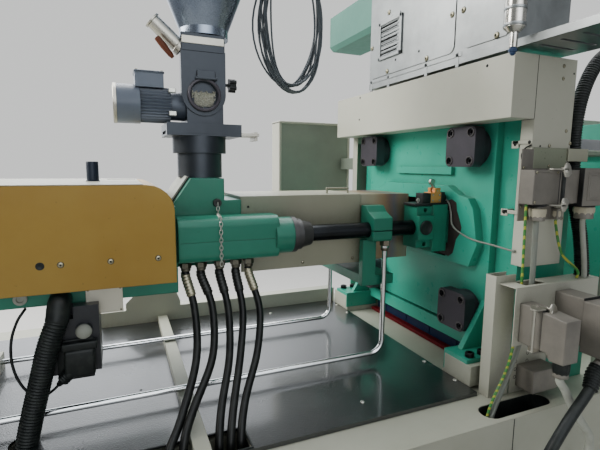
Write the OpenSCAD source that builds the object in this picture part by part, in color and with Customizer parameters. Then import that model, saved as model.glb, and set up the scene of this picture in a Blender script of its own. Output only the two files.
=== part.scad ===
// Injection moulding machine, horizontal, with a hydraulic clamp and a screw injection unit.
// X runs along the machine from the injection unit to the clamp, +Y is the operator's side.
// Pieces are written from the middle of the fixed platen's injection face, on the injection
// axis, and place() stands them on the floor with the origin under the middle of the machine.

/* [Machine] */
// Height of the injection axis above the floor
axis_h = 1270; // [1180:10:1400]
// Smallest gap left between pieces that slide past each other
slide_gap = 0.3; // [0.2:0.1:1]
// Radial running clearance of shafts in their bushes
fit_gap = 0.05; // [0.02:0.01:0.08]

/* [Bed] */
// Length of the bed behind the fixed platen's injection face
bed_rear = 2220; // [2150:10:2400]
// Length of the bed in front of that face
bed_front = 2700; // [2660:10:2900]
// Width of the bed's edge outside the portal's side
bed_margin = 111; // [100:1:160]
// Drop from the injection axis to the bed's deck
deck_drop = 492; // [480:2:520]
// Height of the levelling feet
foot_h = 70; // [50:5:110]
// Length of the passage across the bed below the mould
tunnel_l = 800; // [700:10:880]
// Height of the passage's roof above the floor
tunnel_h = 560; // [450:10:600]
// Width of the well through which mouldings fall
well_w = 560; // [500:10:600]
// Length of the motor bay in the bed's operator side
bay_l = 900; // [800:10:1000]

/* [Drip tray] */
// Distance of the tray's edge inside the portal's side
tray_inset = 24; // [15:1:50]
// Height of the tray above the deck
tray_h = 12; // [8:1:20]
// Thickness of the tray's sheet
tray_t = 3; // [2:0.5:4]
// Gap between the tray's front edge and the platen's injection face
tray_end = 144; // [140:2:180]

/* [Fixed platen] */
// Thickness of the fixed platen
platen_t = 250; // [220:5:300]
// Half of the platens' width
platen_half_w = 470; // [455:5:480]
// Drop from the axis to the platens' lower edge
platen_low = 425; // [405:5:440]
// Rise from the axis to the platens' upper edge
platen_high = 430; // [400:5:440]
// Half of the width of the raised pad on the injection face
pad_half_w = 380; // [370:5:400]
// Depth of the step beside the raised pad
pad_step = 28; // [15:1:40]
// Depth of the nozzle pocket
pocket_depth = 110; // [90:5:130]
// Height of the boss around the nozzle pocket
boss_h = 32; // [20:2:45]
// Radius of the bore for the mould's locating ring
locating_r = 80; // [62.5:2.5:90]
// Depth of that bore
locating_depth = 30; // [20:2:40]
// Radius of the nozzle bore
nozzle_bore_r = 62; // [56:2:70]
// Radius of the mould fixing holes
mould_hole_r = 10; // [8:0.5:12]
// Depth of the mould fixing holes
mould_hole_depth = 45; // [35:5:60]
// Longer pitch of the mould fixing holes
mould_pitch_long = 420; // [400:10:430]
// Shorter pitch of the mould fixing holes
mould_pitch_short = 280; // [240:10:300]

/* [Tie bars] */
// Distance between the tie bars, side to side
bar_pitch_y = 584; // [570:2:600]
// Distance between the tie bars, one above the other
bar_pitch_z = 572; // [560:2:590]
// Radius of a tie bar
bar_r = 45; // [40:1:48]
// Side of the square cap over each tie bar's end
cap_w = 135; // [130:1:145]
// Thickness of the square part of the cap
cap_t = 42; // [30:1:50]
// Thickness of the round flange behind it
cap_flange_t = 32; // [20:1:40]
// Pitch of the cap's screws
cap_screw_pitch = 94; // [88:1:98]
// Radius of the screw heads
cap_screw_r = 12; // [9:0.5:14]

/* [Clamp] */
// Distance between the platens with the clamp open
daylight = 750; // [700:10:800]
// Travel of the moving platen
clamp_stroke = 500; // [400:10:520]
// Thickness of the moving platen's front plate
moving_t = 120; // [100:5:150]
// Depth of the box behind that plate
ejector_box_d = 170; // [160:5:200]
// Thickness of the plate that closes the box
box_back_t = 90; // [70:5:100]
// Half of the box's width
box_half_w = 220; // [200:5:230]
// Distance from the open moving platen to the rear platen
rear_gap = 260; // [240:10:300]
// Thickness of the rear platen
rear_platen_t = 240; // [200:10:260]
// Radius of the clamp piston's rod
clamp_rod_r = 110; // [90:5:120]
// Radius of the clamp piston's head
clamp_head_r = 160; // [150:5:170]
// Wall of the clamp cylinder
clamp_wall = 55; // [45:5:65]
// Travel of the ejector plate
ejector_stroke = 90; // [60:5:95]
// Radius of the ejector rod
ejector_r = 20; // [15:1:25]

/* [Injection unit] */
// Travel of the carriage away from the platen
carriage_back = 200; // [150:10:220]
// Distance from the nozzle's tip to its seat with the carriage at rest
nozzle_gap = 30; // [20:1:40]
// Radius of the barrel
barrel_r = 52; // [48:1:60]
// Radius of the feed screw
screw_r = 20; // [18:0.5:25]
// Pitch of the feed screw's flight
screw_pitch = 40; // [36:1:50]
// Clearance between the flight and the barrel
screw_gap = 0.2; // [0.1:0.05:0.4]
// Dosing travel of the screw
dosing_stroke = 160; // [120:10:170]
// Half of the barrel cover's width
cover_half_w = 125; // [115:1:128]
// Rise of the barrel cover's top above the axis
cover_high = 120; // [110:1:126]
// Drop of the barrel cover's edge below the axis
cover_low = 126; // [100:1:130]
// Sheet of the barrel cover
cover_t = 2; // [1.5:0.5:3]
// Half of the yellow cover's width
shroud_half_w = 255; // [248:1:262]
// Rise of the yellow cover's side above the axis
shroud_high = 164; // [155:1:175]
// Drop of the yellow cover's side below the axis
shroud_low = 105; // [95:1:110]
// Length of the yellow cover
shroud_l = 1010; // [980:10:1050]

/* [Carriage guides] */
// Distance of each guide rod from the axis, sideways
rod_y = 185; // [180:1:190]
// Radius of a guide rod
rod_r = 27; // [24:1:30]
// Radius of the piston at the rod's end
rod_head_r = 44; // [38:1:46]
// Width of the support's upright along the rod
support_w = 73; // [60:1:80]

/* [Oil pipes] */
// Radius of a chrome pipe
pipe_r = 9; // [7:0.5:10]
// Radius of the pipes' bends
pipe_bend_r = 45; // [35:5:60]

/* [Hopper and dosing unit] */
// Width of the feed neck
neck_w = 143; // [138:1:150]
// Width of the dosing unit's front plate
plate_w = 135; // [128:1:140]
// Radius of the window in that plate
window_r = 44; // [40:1:50]
// Radius of the funnel's rim
funnel_r = 200; // [170:5:220]
// Travel of the shut-off slide
gate_stroke = 70; // [50:5:80]

/* [Portal and guards] */
// Gap between the platens' sides and a column cover
column_gap = 16; // [10:1:24]
// Rise of the portal's top above the axis
portal_high = 540; // [520:5:560]
// Height of the portal's beam
beam_h = 180; // [160:5:190]
// Depth of the portal's beam
beam_d = 91; // [85:1:100]
// Thickness of a column cover, side to side
column_t = 43; // [38:1:46]
// Width of a column cover along the machine
column_w = 166; // [150:2:170]
// Rise of the guard on the rear side above the axis
guard_high_rear = 300; // [280:10:320]
// Length of a safety door
door_l = 940; // [900:10:960]
// Travel of a safety door
door_stroke = 880; // [800:10:890]

/* [Handling unit] */
// Reach of the handling unit's base towards the rear side
handling_reach = 900; // [850:10:950]
// Height of the base above the axis
handling_high = 556; // [550:1:580]

/* [Console] */
// Distance of the operator panel's back from the axis, sideways
console_y = 700; // [690:5:720]
// Depth of the operator panel
console_d = 110; // [90:5:130]
// Travel of the stop button
button_travel = 4; // [3:0.5:6]

/* [Hidden] */
$fn = 48;
// Places of the main pieces along the machine
mid_x = (bed_front - bed_rear) / 2;
open_x = platen_t + daylight;
box_x = open_x + moving_t;
box_back_x = box_x + ejector_box_d;
moving_end = box_back_x + box_back_t;
rear_platen_x = moving_end + rear_gap;
cylinder_x = rear_platen_x + rear_platen_t;
clamp_head_t = 60;
cylinder_l = clamp_stroke + clamp_head_t + 60;
cylinder_end = 60;
nut_t = 70;
nut_r = 74;
// Sides and heights shared by several pieces
portal_half_w = platen_half_w + column_gap + column_t;
bed_half_w = portal_half_w + bed_margin;
tray_half_w = portal_half_w - tray_inset;
console_button_h = 32;
far_y = console_y + console_d + console_button_h;
mid_y = (far_y - handling_reach) / 2;
deck_z = -deck_drop;
floor_z = -axis_h;
bed_low = floor_z + foot_h;
tray_z = deck_z + tray_h;
// Bed
tunnel_x = platen_t + 90;
tunnel_z = floor_z + tunnel_h;
bay_x = -1900;
bay_low = bed_low + 40;
bay_high = deck_z - 120;
bay_depth = 560;
foot_pad_r = 60;
pad_h = 22;
hose_well_x = [-1160, -872];
hose_well_y = [-tray_half_w + 7, -tray_half_w + 93];
hose_end_y = -tray_half_w + 40;
hose_well_d = 120;
cable_well_x = [-176, 16];
cable_well_y = -portal_half_w - 61;
cable_well_r = 34;
cable_well_d = 60;
crossbar_x = -1014;
crossbar_w = 40;
crossbar_t = 25;
crossbar_foot = 35;
rail_y = [platen_half_w - 140, platen_half_w - 60];
rail_h = 32;
pedestal_x = [-1960, -1580];
pedestal_half_w = 150;
pedestal_top = -210;
trough_y = tray_half_w + slide_gap;
pedestal_foot_t = 56;
pedestal_foot_w = 240;
pipe_start = pedestal_x[1] + 40;
duct_well_x = -1400;
duct_well_y = -270;
duct_well_r = 34;
duct_well_d = 100;
// Fixed platen
pad_low = platen_low - 60;
platen_foot_l = 140;
platen_foot_y = [platen_half_w - 125, platen_half_w - 20];
platen_foot_t = deck_drop - pad_h - platen_low + 25;
pocket_outline = [[-205, 95], [-218, 68], [-250, -9], [-219, -65], [-203, -112],
                  [203, -112], [219, -65], [250, -9], [218, 68], [205, 95]];
boss_outline = [[-195, 150], [-256, 118], [-300, 110], [-326, 74], [-352, -47], [-320, -128],
                [320, -128], [352, -47], [326, 74], [300, 110], [256, 118], [195, 150]];
// Tie bars
bar_start = -20;
cap_corner_r = 22;
// Clamp
clamp_rod_end = cylinder_x + cylinder_l - 20;
ejector_plate_t = 60;
ejector_pin_y = 120;
ejector_pin_r = 15;
shoe_z = deck_z + rail_h + slide_gap;
// Injection unit
nozzle_seat_x = platen_t - locating_depth - 10;
nozzle_tip_x = nozzle_seat_x - nozzle_gap;
nozzle_l = 130;
barrel_front = nozzle_tip_x - nozzle_l;
feed_x = -900;
barrel_back = -1014;
screw_front = barrel_front - 30;
casting_x = [-1004, -654];
rod_start = -960;
rod_cap_l = 70;
piston_t = 30;
block_x = [-1000, -797];
cover_x = [-797, -357];
guard_x = [-356, -146];
shroud_x = [-1014 - shroud_l, -1014];
housing_x = [-1960, -1030];
front_plate_top = 100;
ram_x = -1400;
ram_t = 60;
// Carriage guides
yoke_x = [-180, -109];
support_x = [-364, -364 + support_w];
upright_y = 184;
support_low = -200;
// Pipes
pipe_y = 200;
pipe_x = [-300, -309];
pipe_fitting_r = 14;
fitting_z = [-64, -36];
pipe_z = tray_z + crossbar_t + pipe_r;
// Hopper and dosing unit
neck_z = 177;
neck_step = 255;
neck_top = 307;
gate_t = 16;
dosing_z = neck_top + gate_t + 22;
plate_x = -896;
plate_y = -75;
plate_low = 368;
plate_high = 561;
window_z = 430;
dosing_axis_z = 400;
funnel_z = 612;
funnel_top = 950;
// Portal and guards
column_x = -23;
beam_x = column_x - beam_d;
beam_z = portal_high - beam_h;
column_low = -85;
duct_x = [-124, -44];
duct_top = -105;
shelf_z = -126;
shelf_d = 61;
shelf_x = [-110, 250];
guard_inset = 80;
guard_y = bed_half_w - guard_inset;
guard_t = 30;
guard_x0 = 300;
panel_x0 = 50;
rear_panel_x0 = 420;
panel_t = 12;
skirt_x0 = 116;
skirt_top = -130;
door_x = 330;
door_low = deck_z + 62;
door_t = 25;
door_wall = 30;
// Handling unit
base_x = [-94, 130];
base_t = 22;
// Console
console_x = [-364, 51];
console_z = [60, 446];
button_x = -300;
button_z = 110;
button_r = 20;

// Moves a piece from the platen's frame to the machine's own frame
module place() translate([-mid_x, -mid_y, axis_h]) children();

// Box between two limits on each axis
module block(x, y, z) translate([x[0], y[0], z[0]]) cube([x[1] - x[0], y[1] - y[0], z[1] - z[0]]);

// Round bar along the machine
module bar_x(r, x) translate([x[0], 0, 0]) rotate([0, 90, 0]) cylinder(h = x[1] - x[0], r = r);

// Round bar across the machine
module bar_y(r, y) translate([0, y[0], 0]) rotate([-90, 0, 0]) cylinder(h = y[1] - y[0], r = r);

// Outline in Y and Z, drawn out along the machine
module prism_x(x) translate([x[0], 0, 0]) rotate([90, 0, 90]) linear_extrude(x[1] - x[0]) children();

// Outline in X and Z, drawn out across the machine
module prism_y(y) translate([0, y[1], 0]) rotate([90, 0, 0]) linear_extrude(y[1] - y[0]) children();

// Profile of radius against X, turned about the machine's direction
module turned_x() rotate([0, 90, 0]) rotate_extrude() children();

module both_sides() {
  children();
  mirror([0, 1, 0]) children();
}

module at_tie_bars()
  for (side = [-1, 1], level = [-1, 1])
    translate([0, side * bar_pitch_y / 2, level * bar_pitch_z / 2]) children();

module rounded_square(w, h, r)
  hull()
    for (x = [-1, 1], y = [-1, 1])
      translate([x * (w / 2 - r), y * (h / 2 - r)]) circle(r, $fn = 32);

// Tube along a list of points, one ring of sides at each point
function unit(v) = v / norm(v);
function tangent(p, i) =
  unit(p[min(i + 1, len(p) - 1)] - p[max(i - 1, 0)]);
function ring(p, i, r, sides, lean) =
  let (t = tangent(p, i), u = unit(cross(t, lean)), v = cross(t, u))
    [for (k = [0:sides - 1]) p[i] + r * (cos(360 * k / sides) * u + sin(360 * k / sides) * v)];
module tube(p, r, sides = 8, lean = [1, 0, 0]) {
  rings = [for (i = [0:len(p) - 1]) each ring(p, i, r, sides, lean)];
  walls = [for (i = [0:len(p) - 2], k = [0:sides - 1])
             let (a = i * sides + k, b = i * sides + (k + 1) % sides)
               [a, a + sides, b + sides, b]];
  last = (len(p) - 1) * sides;
  start_face = [for (k = [0:sides - 1]) k];
  end_face = [for (k = [sides - 1:-1:0]) last + k];
  polyhedron(rings, concat(walls, [start_face], [end_face]));
}

// Bed: a welded box with the cross passage, the motor bay and the wells for hoses and cables
module bed_frame() place() color("gainsboro") {
  difference() {
    block([-bed_rear, bed_front], [-bed_half_w, bed_half_w], [bed_low, deck_z]);
    block([tunnel_x, tunnel_x + tunnel_l], [-bed_half_w - 1, bed_half_w + 1], [bed_low - 1, tunnel_z]);
    block([tunnel_x, tunnel_x + tunnel_l], [-well_w / 2, well_w / 2], [tunnel_z - 1, deck_z + 1]);
    block([bay_x, bay_x + bay_l], [bed_half_w - bay_depth, bed_half_w + 1], [bay_low, bay_high]);
    block(hose_well_x, hose_well_y, [deck_z - hose_well_d, deck_z + 1]);
    translate([duct_well_x, duct_well_y, deck_z - duct_well_d])
      cylinder(h = duct_well_d + 1, r = duct_well_r);
    hull()
      for (x = cable_well_x)
        translate([x, cable_well_y, deck_z - cable_well_d])
          cylinder(h = cable_well_d + 1, r = cable_well_r, $fn = 32);
  }
  both_sides() {
    block([-platen_foot_l, 190], [platen_foot_y[0] - 5, platen_foot_y[1] + 5], [deck_z, deck_z + pad_h]);
    block([platen_t + 30, rear_platen_x], rail_y, [deck_z, deck_z + rail_h]);
    block([rear_platen_x, cylinder_x], [rail_y[0] - 60, rail_y[1]], [deck_z, -platen_low]);
  }
  block([crossbar_x, crossbar_x + crossbar_w], [-tray_half_w - crossbar_foot, -tray_half_w - 1],
        [deck_z, tray_z]);
  block([crossbar_x, crossbar_x + crossbar_w], [-tray_half_w - crossbar_foot, tray_half_w],
        [tray_z, tray_z + crossbar_t]);
  pedestal();
  for (port = cable_ports) cable_port(port);
}

// Elbow box with a gland, where a hanging cable enters the bed's side
port_y = -bed_half_w - 40;
port_reach = 66;
cable_ports = [[-200, -860], [100, -800]];
module cable_port(at) translate([at[0], 0, at[1]]) {
  block([-30, 30], [-bed_half_w - port_reach, -bed_half_w], [-90, -30]);
  translate([0, port_y, -31]) cylinder(h = 31, r = 20);
}

// Support of the injection unit's rear end: a folded stand with a flat slideway
module pedestal() {
  block(pedestal_x, [-pedestal_half_w, pedestal_half_w], [deck_z, pedestal_top]);
  block([pedestal_x[0] - 40, pipe_start], [-pedestal_foot_w, pedestal_foot_w],
        [tray_z, tray_z + pedestal_foot_t]);
}

// Cover panels over the bed's sides at the clamp, with the motor bay's louvred door
module side_panels() place() color("seagreen") {
  difference() {
    union() {
      block([panel_x0, bed_front - 20], [bed_half_w, bed_half_w + panel_t], [bed_low + 30, deck_z + 180]);
      block([rear_panel_x0, bed_front - 20], [-bed_half_w - panel_t, -bed_half_w],
            [bed_low + 30, deck_z + 180]);
    }
    block([tunnel_x - 10, tunnel_x + tunnel_l + 10], [-bed_half_w - 20, bed_half_w + 20],
          [bed_low, tunnel_z + 10]);
  }
  block([skirt_x0, guard_x0], [-portal_half_w, -portal_half_w + 4], [deck_z, skirt_top]);
  difference() {
    block([bay_x - 40, bay_x + bay_l + 40], [bed_half_w, bed_half_w + panel_t],
          [bay_low - 30, bay_high + 30]);
    for (row = [0:9])
      block([bay_x + 120, bay_x + bay_l - 120], [bed_half_w - 1, bed_half_w + panel_t + 1],
            [bay_low + 60 + row * 36, bay_low + 72 + row * 36]);
  }
}

// Folded sheet tray with edges turned down onto the deck
module drip_tray() place() color("black")
  difference() {
    block([-bed_rear + 60, -tray_end], [-tray_half_w, tray_half_w], [deck_z, tray_z]);
    block([-bed_rear + 60 + tray_t, -tray_end - tray_t], [-tray_half_w + tray_t, tray_half_w - tray_t],
          [deck_z - 1, tray_z - tray_t]);
    block(hose_well_x, hose_well_y, [deck_z, tray_z + 1]);
    block([pedestal_x[0] - slide_gap, pedestal_x[1] + slide_gap],
          [-pedestal_half_w - slide_gap, pedestal_half_w + slide_gap], [deck_z, tray_z + 1]);
    translate([duct_well_x, duct_well_y, deck_z]) cylinder(h = tray_h + 1, r = duct_well_r);
  }

// Levelling feet under the bed
foot_x = [-bed_rear + 160, -900, mid_x, 1240, bed_front - 160];
module levelling_feet() place() color("dimgray")
  for (x = foot_x, side = [-1, 1])
    translate([x, side * (bed_half_w - 90), floor_z]) {
      cylinder(h = 22, r = foot_pad_r);
      cylinder(h = foot_h, r = 15);
      translate([0, 0, foot_h - 20]) cylinder(h = 20, r = 26, $fn = 6);
    }

// Electric motor and pump of the hydraulics, inside the bed
motor_x = [bay_x + 120, bay_x + 560];
motor_r = 150;
module pump_motor() place() color("slategray")
  translate([0, bed_half_w - bay_depth / 2, bay_low]) {
    block([motor_x[0] + 40, motor_x[1] - 60], [-120, 120], [0, 40]);
    translate([0, 0, motor_r + 20]) {
      bar_x(motor_r, motor_x);
      bar_x(90, [motor_x[1], motor_x[1] + 60]);
      bar_x(70, [motor_x[1] + 60, motor_x[1] + 200]);
    }
  }

// Cast platen that carries the fixed mould half, with its nozzle pocket, boss and feet
module fixed_platen() place() color("mediumseagreen")
  difference() {
    union() {
      block([0, platen_t], [-pad_half_w, pad_half_w], [-pad_low, platen_high]);
      block([pad_step, platen_t], [-platen_half_w, platen_half_w], [-platen_low, platen_high]);
      block([-6, pad_step], [-pad_half_w, pad_half_w], [-platen_low, -pad_low - 8]);
      prism_x([-boss_h, pad_step]) polygon(boss_outline);
      block([-14, 1], [-190, 150], [190, 218]);
      both_sides() platen_foot();
    }
    prism_x([-boss_h - 1, pocket_depth]) polygon(pocket_outline);
    bar_x(nozzle_bore_r, [pocket_depth - 1, platen_t + 1]);
    bar_x(locating_r, [platen_t - locating_depth, platen_t + 1]);
    at_tie_bars() bar_x(bar_r + fit_gap, [-1, platen_t + 1]);
    mould_holes([platen_t - mould_hole_depth, platen_t + 1]);
  }

// Two rectangles of holes for clamping a mould half
module mould_holes(x)
  for (side = [-1, 1], level = [-1, 1]) {
    translate([0, side * mould_pitch_long / 2, level * mould_pitch_short / 2]) bar_x(mould_hole_r, x);
    translate([0, side * mould_pitch_short / 2, level * mould_pitch_long / 2]) bar_x(mould_hole_r, x);
  }

module platen_foot() {
  block([-platen_foot_l, pad_step], platen_foot_y, [deck_z + pad_h, deck_z + pad_h + platen_foot_t]);
  prism_y([platen_foot_y[0] + 15, platen_foot_y[0] + 35])
    polygon([[-platen_foot_l + 15, -platen_low - 25], [pad_step, -platen_low - 25],
             [pad_step, -240], [0, -240]]);
}

// Tie bars with the round nuts behind the rear platen
module tie_bars() place() color("silver")
  at_tie_bars() {
    bar_x(bar_r, [bar_start, cylinder_x + nut_t + 15]);
    difference() {
      bar_x(nut_r, [cylinder_x, cylinder_x + nut_t]);
      bar_x(bar_r, [cylinder_x - 1, cylinder_x + nut_t + 1]);
    }
  }

// Square caps bolted over the tie bars' ends
cap_x = -cap_t - cap_flange_t;
module tie_bar_caps() place() color("black")
  at_tie_bars()
    difference() {
      union() {
        prism_x([cap_x, -cap_flange_t]) rounded_square(cap_w, cap_w, cap_corner_r);
        bar_x(cap_w / 2 - 2, [-cap_flange_t, 0]);
      }
      bar_x(bar_r + fit_gap, [bar_start, 1]);
      cap_corners() bar_x(cap_screw_r + 3, [cap_x - 1, cap_x + 18]);
    }

module cap_corners()
  for (side = [-1, 1], level = [-1, 1])
    translate([0, side * cap_screw_pitch / 2, level * cap_screw_pitch / 2]) children();

// Socket head screws of the caps
module cap_screws() place() color("dimgray")
  at_tie_bars()
    cap_corners()
      difference() {
        bar_x(cap_screw_r, [cap_x + 2, cap_x + 18]);
        translate([cap_x + 1, 0, 0]) rotate([0, 90, 0]) cylinder(h = 9, r = cap_screw_r * 0.6, $fn = 6);
      }

// Rear platen, with the bore of the clamp rod
module rear_platen() place() color("mediumseagreen")
  difference() {
    block([rear_platen_x, cylinder_x], [-platen_half_w, platen_half_w], [-platen_low, platen_high]);
    at_tie_bars() bar_x(bar_r + fit_gap, [rear_platen_x - 1, cylinder_x + 1]);
    bar_x(clamp_rod_r + fit_gap, [rear_platen_x - 1, cylinder_x + 1]);
    for (level = [-1, 1])
      block([rear_platen_x + 60, cylinder_x + 1], [-130, 130],
            level > 0 ? [platen_high - 110, platen_high + 1] : [-platen_low - 1, -platen_low + 110]);
  }

// Clamp cylinder: barrel, flange and end cover, turned
module clamp_cylinder() place() color("mediumseagreen")
  translate([cylinder_x, 0, 0])
    difference() {
      union() {
        bar_x(clamp_head_r + clamp_wall, [0, cylinder_l + cylinder_end]);
        bar_x(clamp_head_r + clamp_wall + 30, [cylinder_l - 20, cylinder_l + cylinder_end]);
        prism_x([0, 55]) rounded_square(430, 430, 50);
      }
      bar_x(clamp_head_r + fit_gap, [-1, cylinder_l]);
    }

// Portal cover across the top of the fixed platen
module portal_beam() place() color("gainsboro")
  difference() {
    block([beam_x, column_x + 3], [-portal_half_w, portal_half_w], [beam_z, portal_high]);
    block([beam_x + 3, column_x + 4], [-portal_half_w + column_t, portal_half_w - column_t],
          [beam_z + 3, portal_high - 3]);
  }

// Channels over both ends of the fixed platen
module portal_columns() place() color("gainsboro")
  both_sides()
    difference() {
      block([column_x + 3, column_x + column_w], [-portal_half_w, -portal_half_w + column_t],
            [column_low, portal_high]);
      block([column_x + 6, column_x + column_w - 3], [-portal_half_w + 3, -portal_half_w + column_t + 1],
            [column_low + 60, beam_z - 30]);
    }

// Open cable duct below the rear column, with the shelf that carries the lower connector
module cable_duct() place() color("gainsboro") {
  difference() {
    block(duct_x, [-portal_half_w, -portal_half_w + 39], [deck_z, duct_top]);
    block([duct_x[0] + 3, duct_x[1] + 1], [-portal_half_w + 3, -portal_half_w + 36],
          [deck_z + 3, duct_top + 1]);
  }
  difference() {
    block(shelf_x, [-portal_half_w - shelf_d, -portal_half_w], [shelf_z - 3, shelf_z]);
    block([-58, 25], [-portal_half_w - 48, -portal_half_w - 8], [shelf_z - 4, shelf_z + 1]);
  }
  block(shelf_x, [-portal_half_w - shelf_d, -portal_half_w - shelf_d + 3], [-302, shelf_z - 3]);
  block([-40, skirt_x0], [-portal_half_w - 3, -portal_half_w], [deck_z, shelf_z - 3]);
}

// Cast blocks that hold the guide rods' front ends in the nozzle pocket
module rod_yokes() place() color("seagreen")
  both_sides() {
    difference() {
      union() {
        block([yoke_x[0], yoke_x[1] - 5], [-215, -140], [-72, 78]);
        block([yoke_x[0], yoke_x[1] - 5], [-230, -214], [-42, 46]);
      }
      translate([0, -rod_y, 0]) bar_x(rod_r + fit_gap, [yoke_x[0] - 1, yoke_x[1] - 5]);
      for (z = [-59, 64])
        translate([-143, 0, z]) bar_y(8, [-216, -180]);
    }
    block([yoke_x[1] - 5, -49], [-222, -130], [-88, 83]);
    block([-49, pocket_depth], [-212, -140], [-60, 60]);
    translate([-138, 0, 2]) bar_y(23, [-233, -230]);
  }

// Guide rods; the piston at each rear end drives the carriage
module guide_rods() place() color("darkslategray")
  both_sides()
    translate([0, -rod_y, 0]) {
      bar_x(rod_r, [rod_start, yoke_x[1] - 5]);
      bar_x(rod_head_r, [rod_start, rod_start + piston_t]);
    }

// Bridge below the barrel that joins the two guide rods
module rod_support() place() color("seagreen") {
  both_sides() {
    difference() {
      prism_x(support_x)
        polygon([[-229, -30], [-229, 43], [-190, 62], [-172, 82], [-141, 82], [-141, -36], [-222, -36]]);
      translate([0, -rod_y, 0]) bar_x(rod_r + fit_gap, [support_x[0] - 1, support_x[1] + 1]);
      block([support_x[0] - 1, support_x[1] + 1], [-230, -rod_y], [-1.5, 1.5]);
    }
    block([support_x[0] - 14, support_x[0] + 39], [-upright_y, -160], [support_low, -36]);
  }
  block([support_x[0] - 6, support_x[1] + 41], [-upright_y, upright_y], [support_low, support_low + 35]);
}

// Chrome oil pipes that rise to the guide rods' manifolds
module oil_pipes() place() color("silver") {
  oil_pipe(-pipe_y, pipe_x[0]);
  oil_pipe(pipe_y, pipe_x[1]);
}
module oil_pipe(y, x) translate([x, y, 0]) {
  translate([0, 0, fitting_z[0]]) cylinder(h = fitting_z[1] - fitting_z[0], r = pipe_fitting_r);
  translate([0, 0, pipe_z + pipe_bend_r]) cylinder(h = fitting_z[0] - pipe_z - pipe_bend_r, r = pipe_r);
  translate([-pipe_bend_r, 0, pipe_z + pipe_bend_r])
    rotate([-90, 0, 0]) rotate_extrude(angle = 90) translate([pipe_bend_r, 0]) circle(pipe_r, $fn = 24);
  translate([0, 0, pipe_z]) bar_x(pipe_r, [pipe_start - x, -pipe_bend_r]);
}

// Limit switch of the nozzle's end position, on its plate over the rear yoke
switch_pivot = [-84, -185, 132];
module limit_switch() place() color("goldenrod") {
  block([-190, -45], [-215, -150], [83, 88]);
  difference() {
    block([-114, -52], [-205, -165], [88, 126]);
    translate([-84, 0, 132]) bar_y(14, [-190.5, -179.5]);
  }
  block([-130, -114], [-200, -170], [90, 120]);
  translate([0, -185, 105]) bar_x(13, [-52, -48]);
  for (y = [-205, -179.3])
    difference() {
      translate([0, y, 0]) block([-96, -72], [0, 14.3], [126, 142]);
      translate([switch_pivot[0], 0, switch_pivot[2]]) bar_y(3 + fit_gap, [-206, -164]);
    }
}

// Roller lever of the limit switch
module switch_lever() place() color("gainsboro")
  translate([switch_pivot[0], 0, switch_pivot[2]]) {
    bar_y(3, [-204, -166]);
    bar_y(8, [-190, -180]);
    rotate([0, -20, 0]) block([-4, 4], [-190, -180], [0, 34]);
    rotate([0, -20, 0]) translate([0, 0, 34]) bar_y(11, [-190, -180]);
  }

// Cable trough along the operator's side of the deck, with its sloping end cover
module far_trough() place() color("gainsboro") {
  block([-1244, -130], [trough_y, trough_y + 55], [deck_z, -415]);
  prism_y([trough_y, trough_y + 4])
    polygon([[-1144, -415], [-1144, -385], [-1055, -297], [-950, -297], [-914, -394], [-914, -415]]);
}

// Fixed guards beside the mould and the clamp, with the runners of both doors
window_x = 1500;
window_l = 480;
window_pitch = 560;
module guard(top) {
  difference() {
    block([guard_x0, bed_front - 60], [guard_y, guard_y + guard_t], [deck_z, top]);
    block([door_x + door_wall, door_x + door_l - door_wall], [guard_y - 1, guard_y + guard_t + 1],
          [door_low + door_wall, top - 60]);
    for (panel = [0:1])
      block([window_x + panel * window_pitch, window_x + window_l + panel * window_pitch], [guard_y + 4, guard_y + guard_t + 1],
            [deck_z + 60, top - 60]);
  }
  for (z = [door_low - 20, top - 30 + slide_gap])
    block([door_x, door_x + door_l + door_stroke], [guard_y + guard_t, guard_y + guard_t + door_t + 6],
          [z, z + 20 - slide_gap]);
}
module clamp_guards() place() color("gainsboro") {
  mirror([0, 1, 0]) guard(guard_high_rear);
  block([430, 500], [-guard_y - 5, -portal_half_w + 24], [guard_high_rear - 40, guard_high_rear]);
  translate([465, -portal_half_w - 6, guard_high_rear - 1]) cylinder(h = 31, r = 28);
  guard(portal_high);
}

// Sliding safety door with its window and handle
module door(top) {
  y = [guard_y + guard_t + slide_gap, guard_y + guard_t + door_t];
  difference() {
    block([door_x, door_x + door_l], y, [door_low, top - 30]);
    block([door_x + 80, door_x + door_l - 80], [y[0] + 8, y[1] + 1], [door_low + 90, top - 110]);
  }
  block([door_x + door_l - 55, door_x + door_l - 30], [y[1] - 1, y[1] + 40], [door_low + 260, door_low + 480]);
}
module rear_door() place() color("gainsboro") mirror([0, 1, 0]) door(guard_high_rear);
module front_door() place() color("gainsboro") door(portal_high);

// Operator panel, seen from its back, on an arm from the operator side's column
module console() place() color("slategray") {
  difference() {
    block(console_x, [console_y, console_y + console_d], console_z);
    block([console_x[0] + 12, console_x[1] - 12], [console_y - 1, console_y + 2],
          [console_z[0] + 12, console_z[1] - 12]);
    translate([button_x, 0, button_z]) bar_y(9 + slide_gap, [console_y + console_d - 30, far_y]);
  }
  block([0, 40], [portal_half_w, console_y + 3], [200, 260]);
}

// Front plate of the operator panel, with the screen's bezel and the key field
module console_front() place() color("gainsboro")
  difference() {
    union() {
      block([console_x[0] + 8, console_x[1] - 8], [console_y + console_d, console_y + console_d + 6],
            [console_z[0] + 8, console_z[1] - 8]);
      block([console_x[0] + 70, console_x[1] - 70], [console_y + console_d, console_y + console_d + 12],
            [220, console_z[1] - 25]);
      for (column = [0:7], row = [0:2])
        translate([console_x[0] + 150 + column * 28, 0, 100 + row * 30])
          block([0, 20], [console_y + console_d, console_y + console_d + 8], [0, 20]);
    }
    block([console_x[0] + 90, console_x[1] - 90], [console_y + console_d + 7, console_y + console_d + 13],
          [240, console_z[1] - 45]);
    translate([button_x, 0, button_z]) bar_y(button_r - 4, [console_y + console_d - 1, far_y]);
  }

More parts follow.
